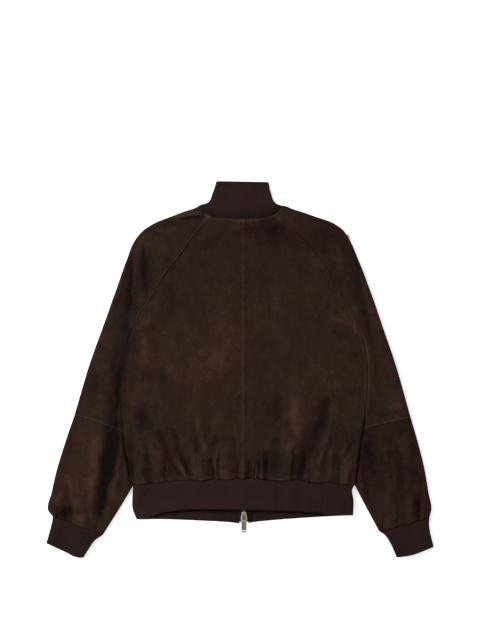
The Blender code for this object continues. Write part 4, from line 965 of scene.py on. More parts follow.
def strip_round(back_seam, back_edge, front_seam, front_edge, fold, rows, face, widths):
    """A rib strip from one zip edge, under and round a fold, over the back and down again."""
    whole = np.ones((len(rows), 1))
    wall = rib_wall()
    left = curve(LEFT.table[fold])(rows)
    right = curve(RIGHT.table[fold])(rows)
    tucked = {"first": TUCKED, "last": 0.0}
    outer, inner, share = layer(back_seam, back_edge, left, right, wall,
                                RIB_STEPS * ribs_in(widths[0]), (FOLD_ROLL, whole),
                                (FOLD_ROLL, whole), RIB_ROLL_STEPS)
    outer, inner = inset(outer, inner, **tucked)
    above = raise_layer(outer, inner, share, wall, face, lift, True, 0.0)
    below = []
    for side, folded in ((LEFT, left), (RIGHT, right)):
        seam_at = where(front_seam, CENTRE + side.sign * ZIP_SLOT)
        edge_at = where(front_edge, CENTRE + side.sign * (ZIP_SLOT + ZIP_FLARE))
        seam_end = front_seam(seam_at)
        edge_end = front_edge(edge_at)
        zip_side = zip_edge(seam_end[1] + (edge_end[1] - seam_end[1]) * rows, side.sign)
        zip_side[0, 0] = seam_end[0]
        zip_side[-1] = edge_end
        outer, inner, share = layer(part_of(front_seam, seam_at, side.end),
                                    part_of(front_edge, edge_at, side.end), zip_side, folded,
                                    wall, RIB_STEPS * ribs_in(widths[1]), (UNDER_ROLL, whole))
        outer, inner = inset(outer, inner, **tucked)
        below.append(raise_layer(outer, inner, share, wall, face, lift, False, 0.0))
    left_half, right_half = below
    outer, inner = join_layers(above, (right_half[0][:, ::-1], right_half[1][:, ::-1]))
    outer = np.concatenate([left_half[0][:, :-1], outer], axis=1)
    inner = np.concatenate([left_half[1][:, :-1], inner], axis=1)
    return rounded_end(outer, inner)


@once
def hem_band():
    return strip_round(HEM, curve(BAND_BACK), HEM_UNDER, curve(BAND_FRONT), "band", BAND_ROWS,
                       band_top, BAND_WIDTHS)


@once
def collar():
    return strip_round(NECK, curve(COLLAR_BACK), NECK_UNDER, curve(COLLAR_FRONT), "collar",
                       COLLAR_ROWS, collar_top, COLLAR_WIDTHS)


def zip_height(y):
    """Height of the middle of the zip's teeth along it, higher on the ribs and in the sliders."""
    panel = PANEL + SEAM + TAPE / 2
    band = RIB_ROOM + SEAM + TAPE / 2
    in_rib = smooth((-248 - y) / 12) + smooth((y - 249) / 12)
    in_slider = smooth((-278 - y) / 20) + smooth((y - 276) / 24)
    return panel + in_rib * (band - panel) + in_slider * (ZIP_IN_SLIDER - band)


def tone_at(x, y, sleeve):
    """How light the suede is coloured, 0 in the middle: patches, ridges lighter and valleys darker (painted
    light and shade, partly rubbed nap), seam edges with painted highlights and shade, painted light over
    the right body's edge and painted shadow beside the body's edges.
    """
    patches = np.zeros(np.shape(x))
    drift_x = 13.0 * noise(x, y, 30, 51) + 6.0 * noise(x, y, 11, 53)
    drift_y = 13.0 * noise(x, y, 30, 52) + 6.0 * noise(x, y, 11, 54)
    for px, py, half_x, half_y, turn, shade in PATCHES:
        angle = math.radians(turn)
        freedom = min(1.0, half_x / 40.0)
        dx = x + freedom * drift_x - px
        dy = y + freedom * drift_y - py
        u = dx * math.cos(angle) + dy * math.sin(angle)
        v = dy * math.cos(angle) - dx * math.sin(angle)
        patches += shade / 100 * np.exp(-((u / half_x) ** 2 + (v / half_y) ** 2))
    # Patches of uneven nap, among them painted shade and painted light
    tone = 0.8 * patches
    # Painted shade in folds, creases and hollows and painted light on their ridges and lumps, partly rubbed
    # nap as well
    tone += 0.05 * np.clip(folds(FOLDS, x, y), -5.0, 4.0)
    tone += 0.15 * np.clip(creases(x, y), -4.0, 3.0) + 0.10 * uneven(x, y)
    felled = nearest(RAGLANS, x, y)
    plain = nearest(ELBOWS if sleeve else (), x, y)
    patchy = 0.55 + 0.75 * noise(x, y, 13, 41)
    left_shown = smooth((y - 150) / 60)
    right_shown = smooth((y - 50) / 40) * (1.0 - 0.7 * smooth((y - 240) / 30))
    shown = 0.18 + 0.82 * np.where(x < CENTRE, left_shown, right_shown)
    # A lighter line along each felled band, partly rubbed nap and partly a painted highlight on the raised
    # band, and painted shade at the band's foot
    rubbed = 0.55 * patchy * bell(felled - 2, 1.2)
    tone += (0.25 if sleeve else 1.0) * shown * rubbed
    tone -= 0.16 * bell(felled - 5.2, 1.4)
    side = LEFT if np.mean(x) < CENTRE else RIGHT
    past = side.sign * (x - side.edge_x(y))
    on_right = side is RIGHT
    # Painted light over the shade of the right body's rolled edge and of the sleeve beside it, from the
    # underarm down to about the elbow
    if on_right:
        lit_right_edge = smooth((side.underarm_y - y) / 16) * smooth((y + 122) / 36)
        tone += 0.85 * lit_right_edge * bell(past - 1, 4.2)
    if sleeve:
        elbow = ELBOWS[on_right]
        order = np.argsort(elbow[:, 0])
        above = y > np.interp(x, elbow[order, 0], elbow[order, 1])
        fade = 1.0 if on_right else 0.6
        edge = fade * np.where(above, 0.36 + 0.26 * patchy, -0.46)
        tone += edge * bell(plain - 2, 1.9)
        # Painted shadow on the sleeve beside the body's edge, stronger towards the cuff
        tone -= 0.55 * smooth((-50 - y) / 90) * bell(past, 5)
    tone -= 0.22 * bell(np.minimum(felled, plain), 0.6)
    if sleeve:
        edges = [distance_to(line, x, y) for line in CUFF_LINES]
    else:
        past = x - CENTRE
        # Painted highlight on the centre-back seam's lapped band, painted shadow cast by its lapped edge on
        # the right, and painted shade at its left foot
        tone += (0.08 + 0.12 * patchy) * lapped(x)
        tone -= 0.38 * bell(past - LAP[1] - 1.4, 0.9)
        tone -= 0.10 * bell(past + LAP[0] + 2.4, 1.2)
        edges = [distance_to(HEM_LINE, x, y)]
    edges = np.min([distance_to(NECK_LINE, x, y)] + edges, axis=0)
    tone -= 0.45 * bell(edges, 1)
    puffed = np.clip(0.35 + 0.22 * (folds(FOLDS, x, y) + creases(x, y)), 0.1, 1.5)
    return tone + puffed * (0.26 + 0.3 * patchy) * bell(edges - 3.2, 1.7)


def rib_shade(points):
    """How far the rib is painted darker, below 0, or lighter: painted shadow under the band's back edge and
    painted shade on that edge, painted shade at the neck, over the collar and on the left cuff, and painted
    light on the left of the band's upper layer.
    """
    x, y, z = np.moveaxis(points, -1, 0)
    edge = np.interp(x, [point[0] for point in BAND_BACK], [point[1] for point in BAND_BACK])
    opened = smooth((x + 196) / 60) * smooth((212 - x) / 60) * (y < -280.0)
    upper = z > 5.0
    # Painted shadow on the lower layer under the back edge, and painted shade on the upper layer where that
    # edge turns under
    under = 0.62 * smooth((y - edge + 4.6) / 4) + 0.06
    turned = 0.42 * (1.0 - smooth((y - edge) / 5))
    shade = -opened * np.where(upper, turned, under)
    # Painted shade at the foot of the collar, over the collar and on the left cuff, then painted light on
    # the left of the hem band's upper layer
    neck = nearest([NECK_LINE], x, y)
    shade -= 0.22 * (1.0 - smooth(neck / 26.0)) * (y > 300.0)
    shade -= 0.16 * (x < -290.0) + 0.05 * (y > 300.0)
    return shade + 0.09 * (y < -280.0) * np.where(upper, 1.0 - smooth((x + 60) / 200), 0.0)


def turned_out(shape, mesh):
    """Fills a mesh from a bmesh, with its faces turned outwards."""
    bmesh.ops.recalc_face_normals(shape, faces=shape.faces)
    shape.to_mesh(mesh)
    shape.free()
    return mesh


def smoothed(mesh, angle):
    """Shades a mesh smooth, except at edges sharper than an angle in degrees."""
    mesh.shade_smooth()
    mesh.set_sharp_from_angle(angle=math.radians(angle))
    return mesh


def wall_mesh(name, outer, inner):
    """One closed wall between a grid of outer points and a grid of inner ones."""
    rows, columns = outer.shape[:2]
    count = rows * columns
    index = np.arange(count).reshape(rows, columns)
    faces = []
    for grid in (index, index + count):
        quads = np.stack([grid[:-1, :-1], grid[:-1, 1:], grid[1:, 1:], grid[1:, :-1]], axis=-1)
        faces.append(quads.reshape(-1, 4))
    loop = np.concatenate([index[0, :-1], index[:-1, -1], index[-1, :0:-1], index[:0:-1, 0]])
    ahead = np.roll(loop, -1)
    faces.append(np.stack([loop, ahead, ahead + count, loop + count], axis=-1))
    faces = np.concatenate(faces)
    points = np.concatenate([outer.reshape(-1, 3), inner.reshape(-1, 3)]) * MM
    mesh = bpy.data.meshes.new(name)
    mesh.from_pydata(points.tolist(), [], faces.tolist())
    shape = bmesh.new()
    shape.from_mesh(mesh)
    return smoothed(turned_out(shape, mesh), 50)


def paint(mesh, name, values):
    """Stores a number for each point of a mesh."""
    attribute = mesh.attributes.new(name, "FLOAT", "POINT")
    attribute.data.foreach_set("value", np.ravel(values).astype(np.float32))


def lay_out(mesh, across, along):
    """Gives a wall's points a place in metres on the cloth, as a UV map."""
    place = np.tile(pairs(np.ravel(across), np.ravel(along)), (2, 1)) * MM
    loops = np.empty(len(mesh.loops), np.int64)
    mesh.loops.foreach_get("vertex_index", loops)
    layer_made = mesh.uv_layers.new(name="cloth")
    layer_made.data.foreach_set("uv", place[loops].astype(np.float32).ravel())


def cloth_place(outer):
    """Distances across and along the cloth for a grid, measured over its rolls."""
    middle = outer[len(outer) // 2]
    across = sums(np.sqrt((np.diff(middle, axis=0) ** 2).sum(axis=-1)))
    along = sums(np.sqrt((np.diff(outer, axis=0) ** 2).sum(axis=-1)).mean(axis=1))
    return np.broadcast_arrays(across[None, :], along[:, None])


def show(name, mesh):
    made = bpy.data.objects.new(name, mesh)
    bpy.context.scene.collection.objects.link(made)
    return made


def line_beside(outer, edge, distance):
    """Points on a grid at a plan distance from its first or last row or column."""
    grid = {"first": outer, "last": outer[::-1], "left": outer.transpose(1, 0, 2),
            "right": outer[:, ::-1].transpose(1, 0, 2)}[edge]
    grid = grid[:60]
    border = grid[0][:, :2]
    away = np.stack([distance_to(border, row[:, 0], row[:, 1]) for row in grid])
    found = []
    for column in range(grid.shape[1]):
        far = away[:, column]
        past = int(np.argmax(far > distance))
        if past == 0:
            continue
        part = (distance - far[past - 1]) / (far[past] - far[past - 1])
        found.append(grid[past - 1, column] + (grid[past, column] - grid[past - 1, column]) * part)
    return np.array(found)


class Nodes:
    """A short way to add linked nodes to a tree."""

    def __init__(self, tree):
        self.tree = tree

    def add(self, kind, inputs=None, **settings):
        """Adds a node, sets its settings and inputs, links sockets, and gives its outputs."""
        made = self.tree.nodes.new(kind)
        for name, value in settings.items():
            setattr(made, name, value)
        for key, value in (inputs or {}).items():
            if isinstance(value, bpy.types.NodeSocket):
                self.tree.links.new(value, made.inputs[key])
            else:
                made.inputs[key].default_value = value
        return made.outputs

    def maths(self, operation, *values):
        return self.add("ShaderNodeMath", dict(enumerate(values)), operation=operation)[0]

    def plus(self, a, b):
        return self.maths("ADD", a, b)

    def times(self, a, b):
        return self.maths("MULTIPLY", a, b)

    def total(self, start, *terms):
        """A value with others added to it, each a pair of the value and its weight."""
        for value, weight in terms:
            start = self.plus(start, self.times(value, weight))
        return start

    def place(self):
        """Where a point lies on the piece, in metres."""
        return self.add("ShaderNodeTexCoord")["Object"]

    def painted(self, name):
        """A number that the mesh stores for each point."""
        return self.add("ShaderNodeAttribute", attribute_name=name)["Fac"]

    def grain(self, place, scale, detail, rough, bend=0.0):
        """Random grain from -0.5 to 0.5 at so many lumps a metre."""
        inputs = {"Vector": place, "Scale": scale, "Detail": detail, "Roughness": rough,
                  "Distortion": bend}
        return self.maths("SUBTRACT", self.add("ShaderNodeTexNoise", inputs)["Fac"], 0.5)

    def shades(self, value, stops):
        """Colours along a value from 0 to 1."""
        outputs = self.add("ShaderNodeValToRGB", {"Fac": value})
        ramp = outputs["Color"].node.color_ramp
        while len(ramp.elements) < len(stops):
            ramp.elements.new(0.5)
        for element, (position, colour) in zip(ramp.elements, stops):
            element.position = position
            element.color = (*colour, 1.0)
        return outputs["Color"]

    def stretched(self, place, scale, turn=0.0):
        """Coordinates squeezed along the axes and turned about Z, for grain with a direction."""
        inputs = {"Vector": place, "Scale": scale, "Rotation": (0.0, 0.0, math.radians(turn))}
        return self.add("ShaderNodeMapping", inputs)["Vector"]

    def bump(self, height, distance, strength, normal=None):
        inputs = {"Height": height, "Distance": distance, "Strength": strength}
        if normal is not None:
            inputs["Normal"] = normal
        return self.add("ShaderNodeBump", inputs)["Normal"]


def new_finish(name):
    """A material with its shader and a way to add nodes to it."""
    made = bpy.data.materials.new(name)
    made.use_nodes = True
    return made, made.node_tree.nodes["Principled BSDF"], Nodes(made.node_tree)


def set_shader(shader, nodes, linked, **fixed):
    """Sets the shader's own sockets, given with _ for a space, and links others."""
    for name, value in fixed.items():
        shader.inputs[name.replace("_", " ")].default_value = value
    for name, value in linked.items():
        nodes.tree.links.new(value, shader.inputs[name])


def mixed(a, b, share):
    """A colour between two."""
    return tuple(x + (y - x) * share for x, y in zip(a, b))


def dyed(name):
    """A colour that the sidebar shows."""
    return tuple(getattr(bpy.context.scene.blouson_colours, name))


@once
def suede():
    """Split suede: mottled nap that catches the light unevenly, with a velvet sheen; the tone it is
    coloured by also holds painted shade and painted light.
    """
    mottle = bpy.context.scene.blouson_colours.mottle
    made, shader, n = new_finish("Suede nap")
    place = n.place()
    clouds = n.grain(place, 24, 4, 0.6, 0.5)
    blots = n.grain(place, 75, 3, 0.62, 0.7)
    brushed = n.grain(n.stretched(place, (1, 0.45, 1), 18), 120, 3, 0.6, 1.1)
    marks = n.grain(n.stretched(place, (0.5, 1, 1), 31), 230, 3, 0.6, 0.8)
    nap = n.grain(place, 760, 3, 0.7)
    fibre = n.grain(n.stretched(place, (1, 0.3, 1), 8), 2600, 2, 0.6)
    value = n.total(n.painted("tone"), (clouds, mottle * 0.95), (blots, mottle * 0.75),
                    (brushed, mottle * 0.55), (marks, mottle * 0.45), (nap, 0.40))
    middle = dyed("suede")
    dark = dyed("suede_dark")
    light = dyed("suede_light")
    colour = n.shades(n.total(0.5, (value, 0.5)), [
        (0.0, dark), (0.30, mixed(middle, dark, 0.55)), (0.52, middle),
        (0.78, mixed(middle, light, 0.50)), (1.0, light)])
    coarse = n.bump(n.plus(brushed, marks), 0.0009, 0.5)
    fine = n.bump(n.total(nap, (fibre, 0.6)), 0.0005, 0.8, coarse)
    set_shader(shader, n, {"Base Color": colour, "Roughness": n.total(0.93, (nap, 0.10)),
                           "Normal": fine},
               Specular_IOR_Level=0.06, Sheen_Weight=0.09, Sheen_Roughness=0.4,
               Sheen_Tint=(0.50, 0.28, 0.20, 1.0))
    return made


@once
def rib_knit():
    """Rib knit: wales of interlocking stitches, soft, with a slight fuzz."""
    sizes = cloth()
    made, shader, n = new_finish("Rib knit")
    place = n.add("ShaderNodeUVMap", uv_map="cloth")["UV"]
    flat = n.add("ShaderNodeSeparateXYZ", {"Vector": place})
    point = n.place()
    half_wale = n.maths("DIVIDE", flat["X"], sizes.rib_pitch)
    within = n.maths("PINGPONG", n.plus(half_wale, 0.25), 0.5)
    lean = n.times(n.maths("PINGPONG", half_wale, 0.25), 2.2)
    course = n.plus(n.maths("DIVIDE", flat["Y"], sizes.stitch_course), lean)
    loops = n.maths("SINE", n.times(course, 2.0 * math.pi))
    fuzz = n.grain(point, 1500, 3, 0.7)
    stripes = n.grain(n.stretched(place, (1, 0.06, 1)), 90, 2, 0.5)
    patchy = n.grain(point, 16, 3, 0.6)
    # The first term paints shade into the furrows between the ribs and light onto their crowns
    value = n.total(0.42, (n.maths("SUBTRACT", 0.5, within), 0.10), (loops, 0.05), (fuzz, 0.30),
                    (stripes, 0.22), (patchy, 0.26))
    rib = dyed("rib")
    colour = n.shades(n.plus(value, n.painted("shade")), [
        (0.0, mixed(rib, BLACK, 0.80)), (0.45, rib), (1.0, dyed("rib_light"))])
    fine = n.bump(fuzz, 0.0005, 0.7, n.bump(loops, 0.00035, 0.6))
    set_shader(shader, n, {"Base Color": colour, "Normal": fine}, Roughness=0.92,
               Specular_IOR_Level=0.08, Sheen_Weight=0.06, Sheen_Roughness=0.5,
               Sheen_Tint=(0.50, 0.34, 0.30, 1.0))
    return made


@once
def woven_tape():
    """Dark woven tape with a fine herringbone."""
    made, shader, n = new_finish("Woven tape")
    place = n.add("ShaderNodeUVMap", uv_map="cloth")["UV"]
    flat = n.add("ShaderNodeSeparateXYZ", {"Vector": place})
    zigzag = n.maths("PINGPONG", flat["X"], 0.0022)
    twill = n.maths("SINE", n.times(n.plus(flat["Y"], zigzag), 7400.0))
    fuzz = n.grain(place, 1800, 3, 0.6)
    value = n.plus(n.total(0.5, (twill, 0.22), (fuzz, 0.4)), n.painted("shade"))
    tape = dyed("tape")
    colour = n.shades(value, [(0.0, mixed(tape, BLACK, 0.6)), (0.5, tape),
                              (1.0, mixed(tape, (0.06, 0.04, 0.034), 0.4))])
    fine = n.bump(n.plus(twill, fuzz), 0.0002, 0.7)
    set_shader(shader, n, {"Base Color": colour, "Normal": fine}, Roughness=0.9,
               Specular_IOR_Level=0.06)
    return made


@once
def aged_brass():
    """Brass with a brown patina, rubbed brighter in places, with fine scratches; on the pull tabs, painted
    light makes one side paler.
    """
    made, shader, n = new_finish("Aged brass")
    place = n.place()
    stain = n.grain(place, 420, 4, 0.65, 0.4)
    rubbed = n.grain(place, 150, 3, 0.5, 0.3)
    scratch = n.grain(n.stretched(place, (1, 0.08, 1), 17), 5200, 2, 0.5)
    value = n.total(n.painted("polish"), (n.plus(stain, rubbed), 0.45))
    brass = dyed("brass")
    pale = dyed("brass_rim")
    colour = n.shades(value, [(0.0, mixed(brass, (0.03, 0.02, 0.01), 0.5)), (0.22, brass),
                              (0.5, mixed(pale, (0.03, 0.01, 0.02), 0.48)), (0.9, pale)])
    fine = n.bump(n.total(scratch, (stain, 0.5)), 0.00006, 0.6)
    set_shader(shader, n, {"Base Color": colour, "Roughness": n.total(0.38, (stain, 0.5)),
                           "Normal": fine}, Metallic=1.0)
    return made


@once
def thread():
    """Polyester thread with a twist, a little lighter than the suede."""
    made, shader, n = new_finish("Sewing thread")
    place = n.place()
    fuzz = n.grain(place, 900, 2, 0.5)
    spun = dyed("thread")
    colour = n.shades(n.plus(fuzz, 0.5), [(0.2, mixed(spun, BLACK, 0.35)),
                                          (0.8, mixed(spun, (0.3, 0.2, 0.15), 0.10))])
    twist = n.grain(n.stretched(place, (1, 1, 0.4), 45), 3800, 1, 0.4)
    set_shader(shader, n, {"Base Color": colour, "Normal": n.bump(twist, 0.0002, 0.6)},
               Roughness=0.75, Specular_IOR_Level=0.15, Sheen_Weight=0.05)
    return made


# The board does not glow where the garment covers it: middle and half length in X, then in Y
COVERED = [((0.010, 0.228), (0.010, 0.280)), ((0.009, 0.262), (-0.035, 0.205))]


@once
def pale_floor():
    """Smooth pale board with a barely visible tooth."""
    made, shader, n = new_finish("Pale board")
    place = n.place()
    tooth = n.grain(place, 220, 3, 0.5)
    pale = dyed("floor")
    colour = n.shades(n.plus(tooth, 0.5), [(0.0, mixed(pale, BLACK, 0.01)), (1.0, pale)])
    flat = n.add("ShaderNodeSeparateXYZ", {"Vector": place})
    under = [n.times(n.maths("COMPARE", flat["X"], *in_x), n.maths("COMPARE", flat["Y"], *in_y))
             for in_x, in_y in COVERED]
    glow = n.times(n.maths("SUBTRACT", 1.0, n.maths("MAXIMUM", *under)),
                   bpy.context.scene.blouson_stage.board_glow)
    set_shader(shader, n, {"Base Color": colour, "Emission Strength": glow}, Roughness=0.95,
               Specular_IOR_Level=0.05, Emission_Color=(1.0, 1.0, 1.0, 1.0))
    return made


def new_tree(name, sockets):
    """A Geometry Nodes tree with named inputs, its nodes and its group input's outputs."""
    tree = bpy.data.node_groups.new(name, "GeometryNodeTree")
    tree.is_modifier = True
    face = tree.interface
    face.new_socket("Geometry", in_out="INPUT", socket_type="NodeSocketGeometry")
    for label, kind in sockets:
        face.new_socket(label, in_out="INPUT", socket_type="NodeSocket" + kind)
    face.new_socket("Geometry", in_out="OUTPUT", socket_type="NodeSocketGeometry")
    nodes = Nodes(tree)
    return nodes, nodes.add("NodeGroupInput")


def finish_tree(nodes, geometry, material):
    """Ends a tree: instances made real, the material set, and the result given out."""
    real = nodes.add("GeometryNodeRealizeInstances", {"Geometry": geometry})["Geometry"]
    dressed = nodes.add("GeometryNodeSetMaterial", {"Geometry": real, "Material": material})
    nodes.add("NodeGroupOutput", {"Geometry": dressed["Geometry"]})
    return nodes.tree


def applied(made, tree, values):
    """Runs a tree on an object with its named inputs, and keeps the result as a plain mesh."""
    modifier = made.modifiers.new(tree.name, "NODES")
    modifier.node_group = tree
    for item in tree.interface.items_tree:
        if item.in_out == "INPUT" and item.name in values:
            modifier[item.identifier] = values[item.name]
    bpy.context.view_layer.update()
    depsgraph = bpy.context.evaluated_depsgraph_get()
    result = bpy.data.meshes.new_from_object(made.evaluated_get(depsgraph), depsgraph=depsgraph)
    made.modifiers.remove(modifier)
    old = made.data
    result.name = made.name
    made.data = result
    bpy.data.meshes.remove(old)
    return made


@once
def rib_tree():
    """Raises ribs along a wall's normals from how far across the cloth each point is."""
    n, given = new_tree("Ribs", [("Pitch", "Float"), ("Height", "Float"), ("Finish", "Material")])
    across = n.add("GeometryNodeInputNamedAttribute", {"Name": "across"}, data_type="FLOAT")
    share = n.add("GeometryNodeInputNamedAttribute", {"Name": "rib_share"}, data_type="FLOAT")
    turns = n.maths("DIVIDE", across["Attribute"], given["Pitch"])
    wave = n.maths("COSINE", n.times(turns, 2.0 * math.pi))
    crown = n.times(n.plus(wave, -0.15), 0.6)
    rise = n.times(n.times(crown, given["Height"]), share["Attribute"])
    normal = n.add("GeometryNodeInputNormal")["Normal"]
    move = n.add("ShaderNodeVectorMath", {0: normal, "Scale": rise}, operation="SCALE")[0]
    moved = n.add("GeometryNodeSetPosition", {"Geometry": given["Geometry"], "Offset": move})
    return finish_tree(n, moved["Geometry"], given["Finish"])


@once
def row_tree():
    """Sets copies of a small piece at even steps along a line, each slightly different."""
    n, given = new_tree("Row along a line", [
        ("Piece", "Object"), ("Step", "Float"), ("Size variation", "Float"),
        ("Turn variation", "Float"), ("Seed", "Int"), ("Finish", "Material")])
    line = n.add("GeometryNodeMeshToCurve", {"Mesh": given["Geometry"]})["Curve"]
    even = n.add("GeometryNodeResampleCurve", {"Curve": line, "Length": given["Step"]},
                 mode="LENGTH")
    tangent = n.add("GeometryNodeInputTangent")["Tangent"]
    turned = n.add("FunctionNodeAlignRotationToVector", {"Vector": tangent}, axis="X",
                   pivot_axis="AUTO")["Rotation"]
    low = n.maths("SUBTRACT", 1.0, given["Size variation"])
    high = n.plus(1.0, given["Size variation"])
    size = n.add("FunctionNodeRandomValue", {"Min": low, "Max": high, "Seed": given["Seed"]},
                 data_type="FLOAT")
    back = n.times(given["Turn variation"], -1.0)
    sway = n.add("FunctionNodeRandomValue",
                 {"Min": back, "Max": given["Turn variation"], "Seed": given["Seed"]},
                 data_type="FLOAT")
    spin = n.add("ShaderNodeCombineXYZ", {"Z": value_of(sway)})["Vector"]
    spun = n.add("FunctionNodeRotateRotation", {"Rotation": turned, "Rotate By": spin},
                 rotation_space="LOCAL")["Rotation"]
    piece = n.add("GeometryNodeObjectInfo", {"Object": given["Piece"]})["Geometry"]
    copies = n.add("GeometryNodeInstanceOnPoints", {
        "Points": even["Curve"], "Instance": piece, "Rotation": spun, "Scale": value_of(size)})
    return finish_tree(n, copies["Instances"], given["Finish"])


def value_of(outputs):
    """The number output of a Random Value node."""
    return next(socket for socket in outputs if socket.enabled and socket.type == "VALUE")


def lines_mesh(name, lines):
    """Loose lines of points, in millimetres, as a mesh of edges."""
    points = []
    edges = []
    for line in lines:
        start = len(points)
        points += (np.asarray(line) * MM).tolist()
        edges += [(start + i, start + i + 1) for i in range(len(line) - 1)]
    mesh = bpy.data.meshes.new(name)
    mesh.from_pydata(points, edges, [])
    return mesh


def dress(made, finish, slot, body, *nodes):
    """Gives a finished piece its material and body and hides the nodes that it stands for; the slot is not
    used.
    """
    if finish is not None:
        made.data.materials.clear()
        made.data.materials.append(finish)
    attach(made, body)
    if nodes:
        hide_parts(*nodes)


def suede_pair(kind, panel, sleeve=False):
    """The left and the right suede panel of one kind, as finished sheets.

    Each lies on the pieces of its side whose names start as the supports say, or on the board.
    """
    for side in (LEFT, RIGHT):
        outer, inner = panel(side)
        name = kind + "_cloth_" + side.name
        mesh = wall_mesh(name, outer, inner)
        # The tone holds uneven nap together with painted shade and painted light
        tone = tone_at(outer[..., 0], outer[..., 1], sleeve).ravel()
        paint(mesh, "tone", np.concatenate([tone, tone - 0.25]))
        lay_out(mesh, *cloth_place(outer))
        made = show(name, mesh)
        dress(made, suede(), "suede", "garment", kind + "_" + side.name)


def rib_piece(name, node, shape):
    """A rib trim as a finished sheet that lies on the board, with ribs on both its faces."""
    outer, inner = shape
    sizes = cloth()
    mesh = wall_mesh(name, outer, inner)
    across, along = cloth_place(outer)
    pitch = sizes.rib_pitch / MM
    across = across - across[0, across.shape[1] // 2]
    lay_out(mesh, across, along)
    paint(mesh, "across", np.concatenate([across.ravel(), across.ravel() + pitch / 2]) * MM)
    resting = smooth((outer[..., 2] - 0.4) / 1.2)
    end = smooth(np.minimum(along, along.max() - along) / 2.0)
    paint(mesh, "rib_share", np.concatenate([(resting * end).ravel(), end.ravel()]))
    # The rib's painted shade and painted light
    paint(mesh, "shade", np.concatenate([rib_shade(outer).ravel(), rib_shade(inner).ravel()]))
    made = show(name, mesh)
    applied(made, rib_tree(), {"Pitch": sizes.rib_pitch, "Height": sizes.rib_height,
                               "Finish": rib_knit()})
    made.data.shade_smooth()
    dress(made, None, "rib_knit", "garment", node)


def stitch_mesh():
    """One stitch: a short plump length of thread that dips into the cloth at both ends."""
    sizes = cloth()
    shape = bmesh.new()
    bmesh.ops.create_uvsphere(shape, u_segments=6, v_segments=5, radius=0.5)
    for vertex in shape.verts:
        x, y, z = vertex.co
        vertex.co = (z * sizes.stitch_length * 0.94,
                     y * sizes.stitch_width,
                     x * sizes.stitch_width * 0.9 - 0.9 * sizes.stitch_width * z * z)
    mesh = turned_out(shape, bpy.data.meshes.new("stitch"))
    mesh.shade_smooth()
    return mesh


def tooth_mesh():
    """One zip tooth: a clamped foot and a narrower head with a rounded nose, nose towards +Y."""
    shape = bmesh.new()
    profile = [(-2.6, 0.80, 1.05), (-1.9, 0.98, 1.1), (-0.9, 0.86, 1.0), (0.2, 0.60, 0.8),
               (1.3, 0.66, 0.86), (2.0, 0.48, 0.66)]
    rings = []
    for y, half_x, half_z in profile:
        ring = []
        for x, z in ((-1, -0.7), (-0.7, -1), (0.7, -1), (1, -0.7), (1, 0.7), (0.7, 1), (-0.7, 1),
                     (-1, 0.7)):
            ring.append(shape.verts.new((x * half_x * MM, y * MM, z * half_z * MM)))
        rings.append(ring)
    for near, far in zip(rings, rings[1:]):
        for i in range(8):
            j = (i + 1) % 8
            shape.faces.new((near[i], near[j], far[j], far[i]))
    shape.faces.new(rings[0])
    shape.faces.new(rings[-1])
    return turned_out(shape, bpy.data.meshes.new("tooth"))


def row_piece(name, lines, single, step, variation, seed, finish):
    """Copies of a small mesh along lines, as one piece."""
    helper = show(name + "_one", single)
    made = show(name, lines_mesh(name, lines))
    applied(made, row_tree(), {
        "Piece": helper, "Step": step, "Size variation": variation[0],
        "Turn variation": variation[1], "Seed": seed, "Finish": finish})
    bpy.data.objects.remove(helper)
    return made


def rounded_plate(name, outline, low, high, bevel, holes=()):
    """A flat plate from an outline in millimetres, with holes and bevelled edges."""
    data = bpy.data.curves.new(name, "CURVE")
    data.dimensions = "2D"
    data.fill_mode = "BOTH"
    data.extrude = ((high - low) / 2 - bevel) * MM
    data.bevel_depth = bevel * MM
    data.bevel_resolution = 2
    data.offset = -bevel * MM
    for points in (outline, *holes):
        spline = data.splines.new("POLY")
        spline.points.add(len(points) - 1)
        for point, (x, y) in zip(spline.points, points):
            point.co = (x * MM, y * MM, 0.0, 1.0)
        spline.use_cyclic_u = True
    made = show(name, data)
    bpy.context.view_layer.update()
    flat = bpy.data.meshes.new_from_object(made.evaluated_get(bpy.context.evaluated_depsgraph_get()))
    shape = bmesh.new()
    shape.from_mesh(flat)
    bmesh.ops.remove_doubles(shape, verts=shape.verts, dist=0.00001)
    bmesh.ops.translate(shape, verts=shape.verts, vec=(0.0, 0.0, (low + high) / 2 * MM))
    bpy.data.objects.remove(made)
    bpy.data.curves.remove(data)
    return turned_out(shape, flat)


def merged(name, meshes, polish, light_slope=0.0):
    """Closed meshes as one, each with its share of rubbed metal, plus painted light that grows by the slope
    for each mm to the right of the zip's middle.
    """
    shape = bmesh.new()
    for mesh, share in zip(meshes, polish):
        across = np.array([vertex.co.x for vertex in mesh.vertices]) / MM - CENTRE
        paint(mesh, "polish", share + light_slope * across)
        shape.from_mesh(mesh)
        bpy.data.meshes.remove(mesh)
    mesh = bpy.data.meshes.new(name)
    shape.to_mesh(mesh)
    shape.free()
    return smoothed(mesh, 32)


CORNER_STEPS = 4


def softened(points, radius):
    """An outline with its corners rounded by quadratic arcs."""
    found = []
    for index, corner in enumerate(np.array(points, float)):
        before = np.array(points[index - 1], float)
        after = np.array(points[(index + 1) % len(points)], float)
        to_before = before - corner
        to_after = after - corner
        cut_before = min(radius, np.hypot(*to_before) * 0.45)
        cut_after = min(radius, np.hypot(*to_after) * 0.45)
        a = corner + to_before / np.hypot(*to_before) * cut_before
        b = corner + to_after / np.hypot(*to_after) * cut_after
        for t in np.linspace(0.0, 1.0, CORNER_STEPS + 1):
            found.append(tuple((1 - t) ** 2 * a + 2 * t * (1 - t) * corner + t ** 2 * b))
    return found


ENDS = {
    "top": (ZIP_TOP - SLIDER_LENGTH, ZIP_TOP),
    "bottom": (ZIP_BOTTOM + SLIDER_LENGTH, ZIP_BOTTOM),
}


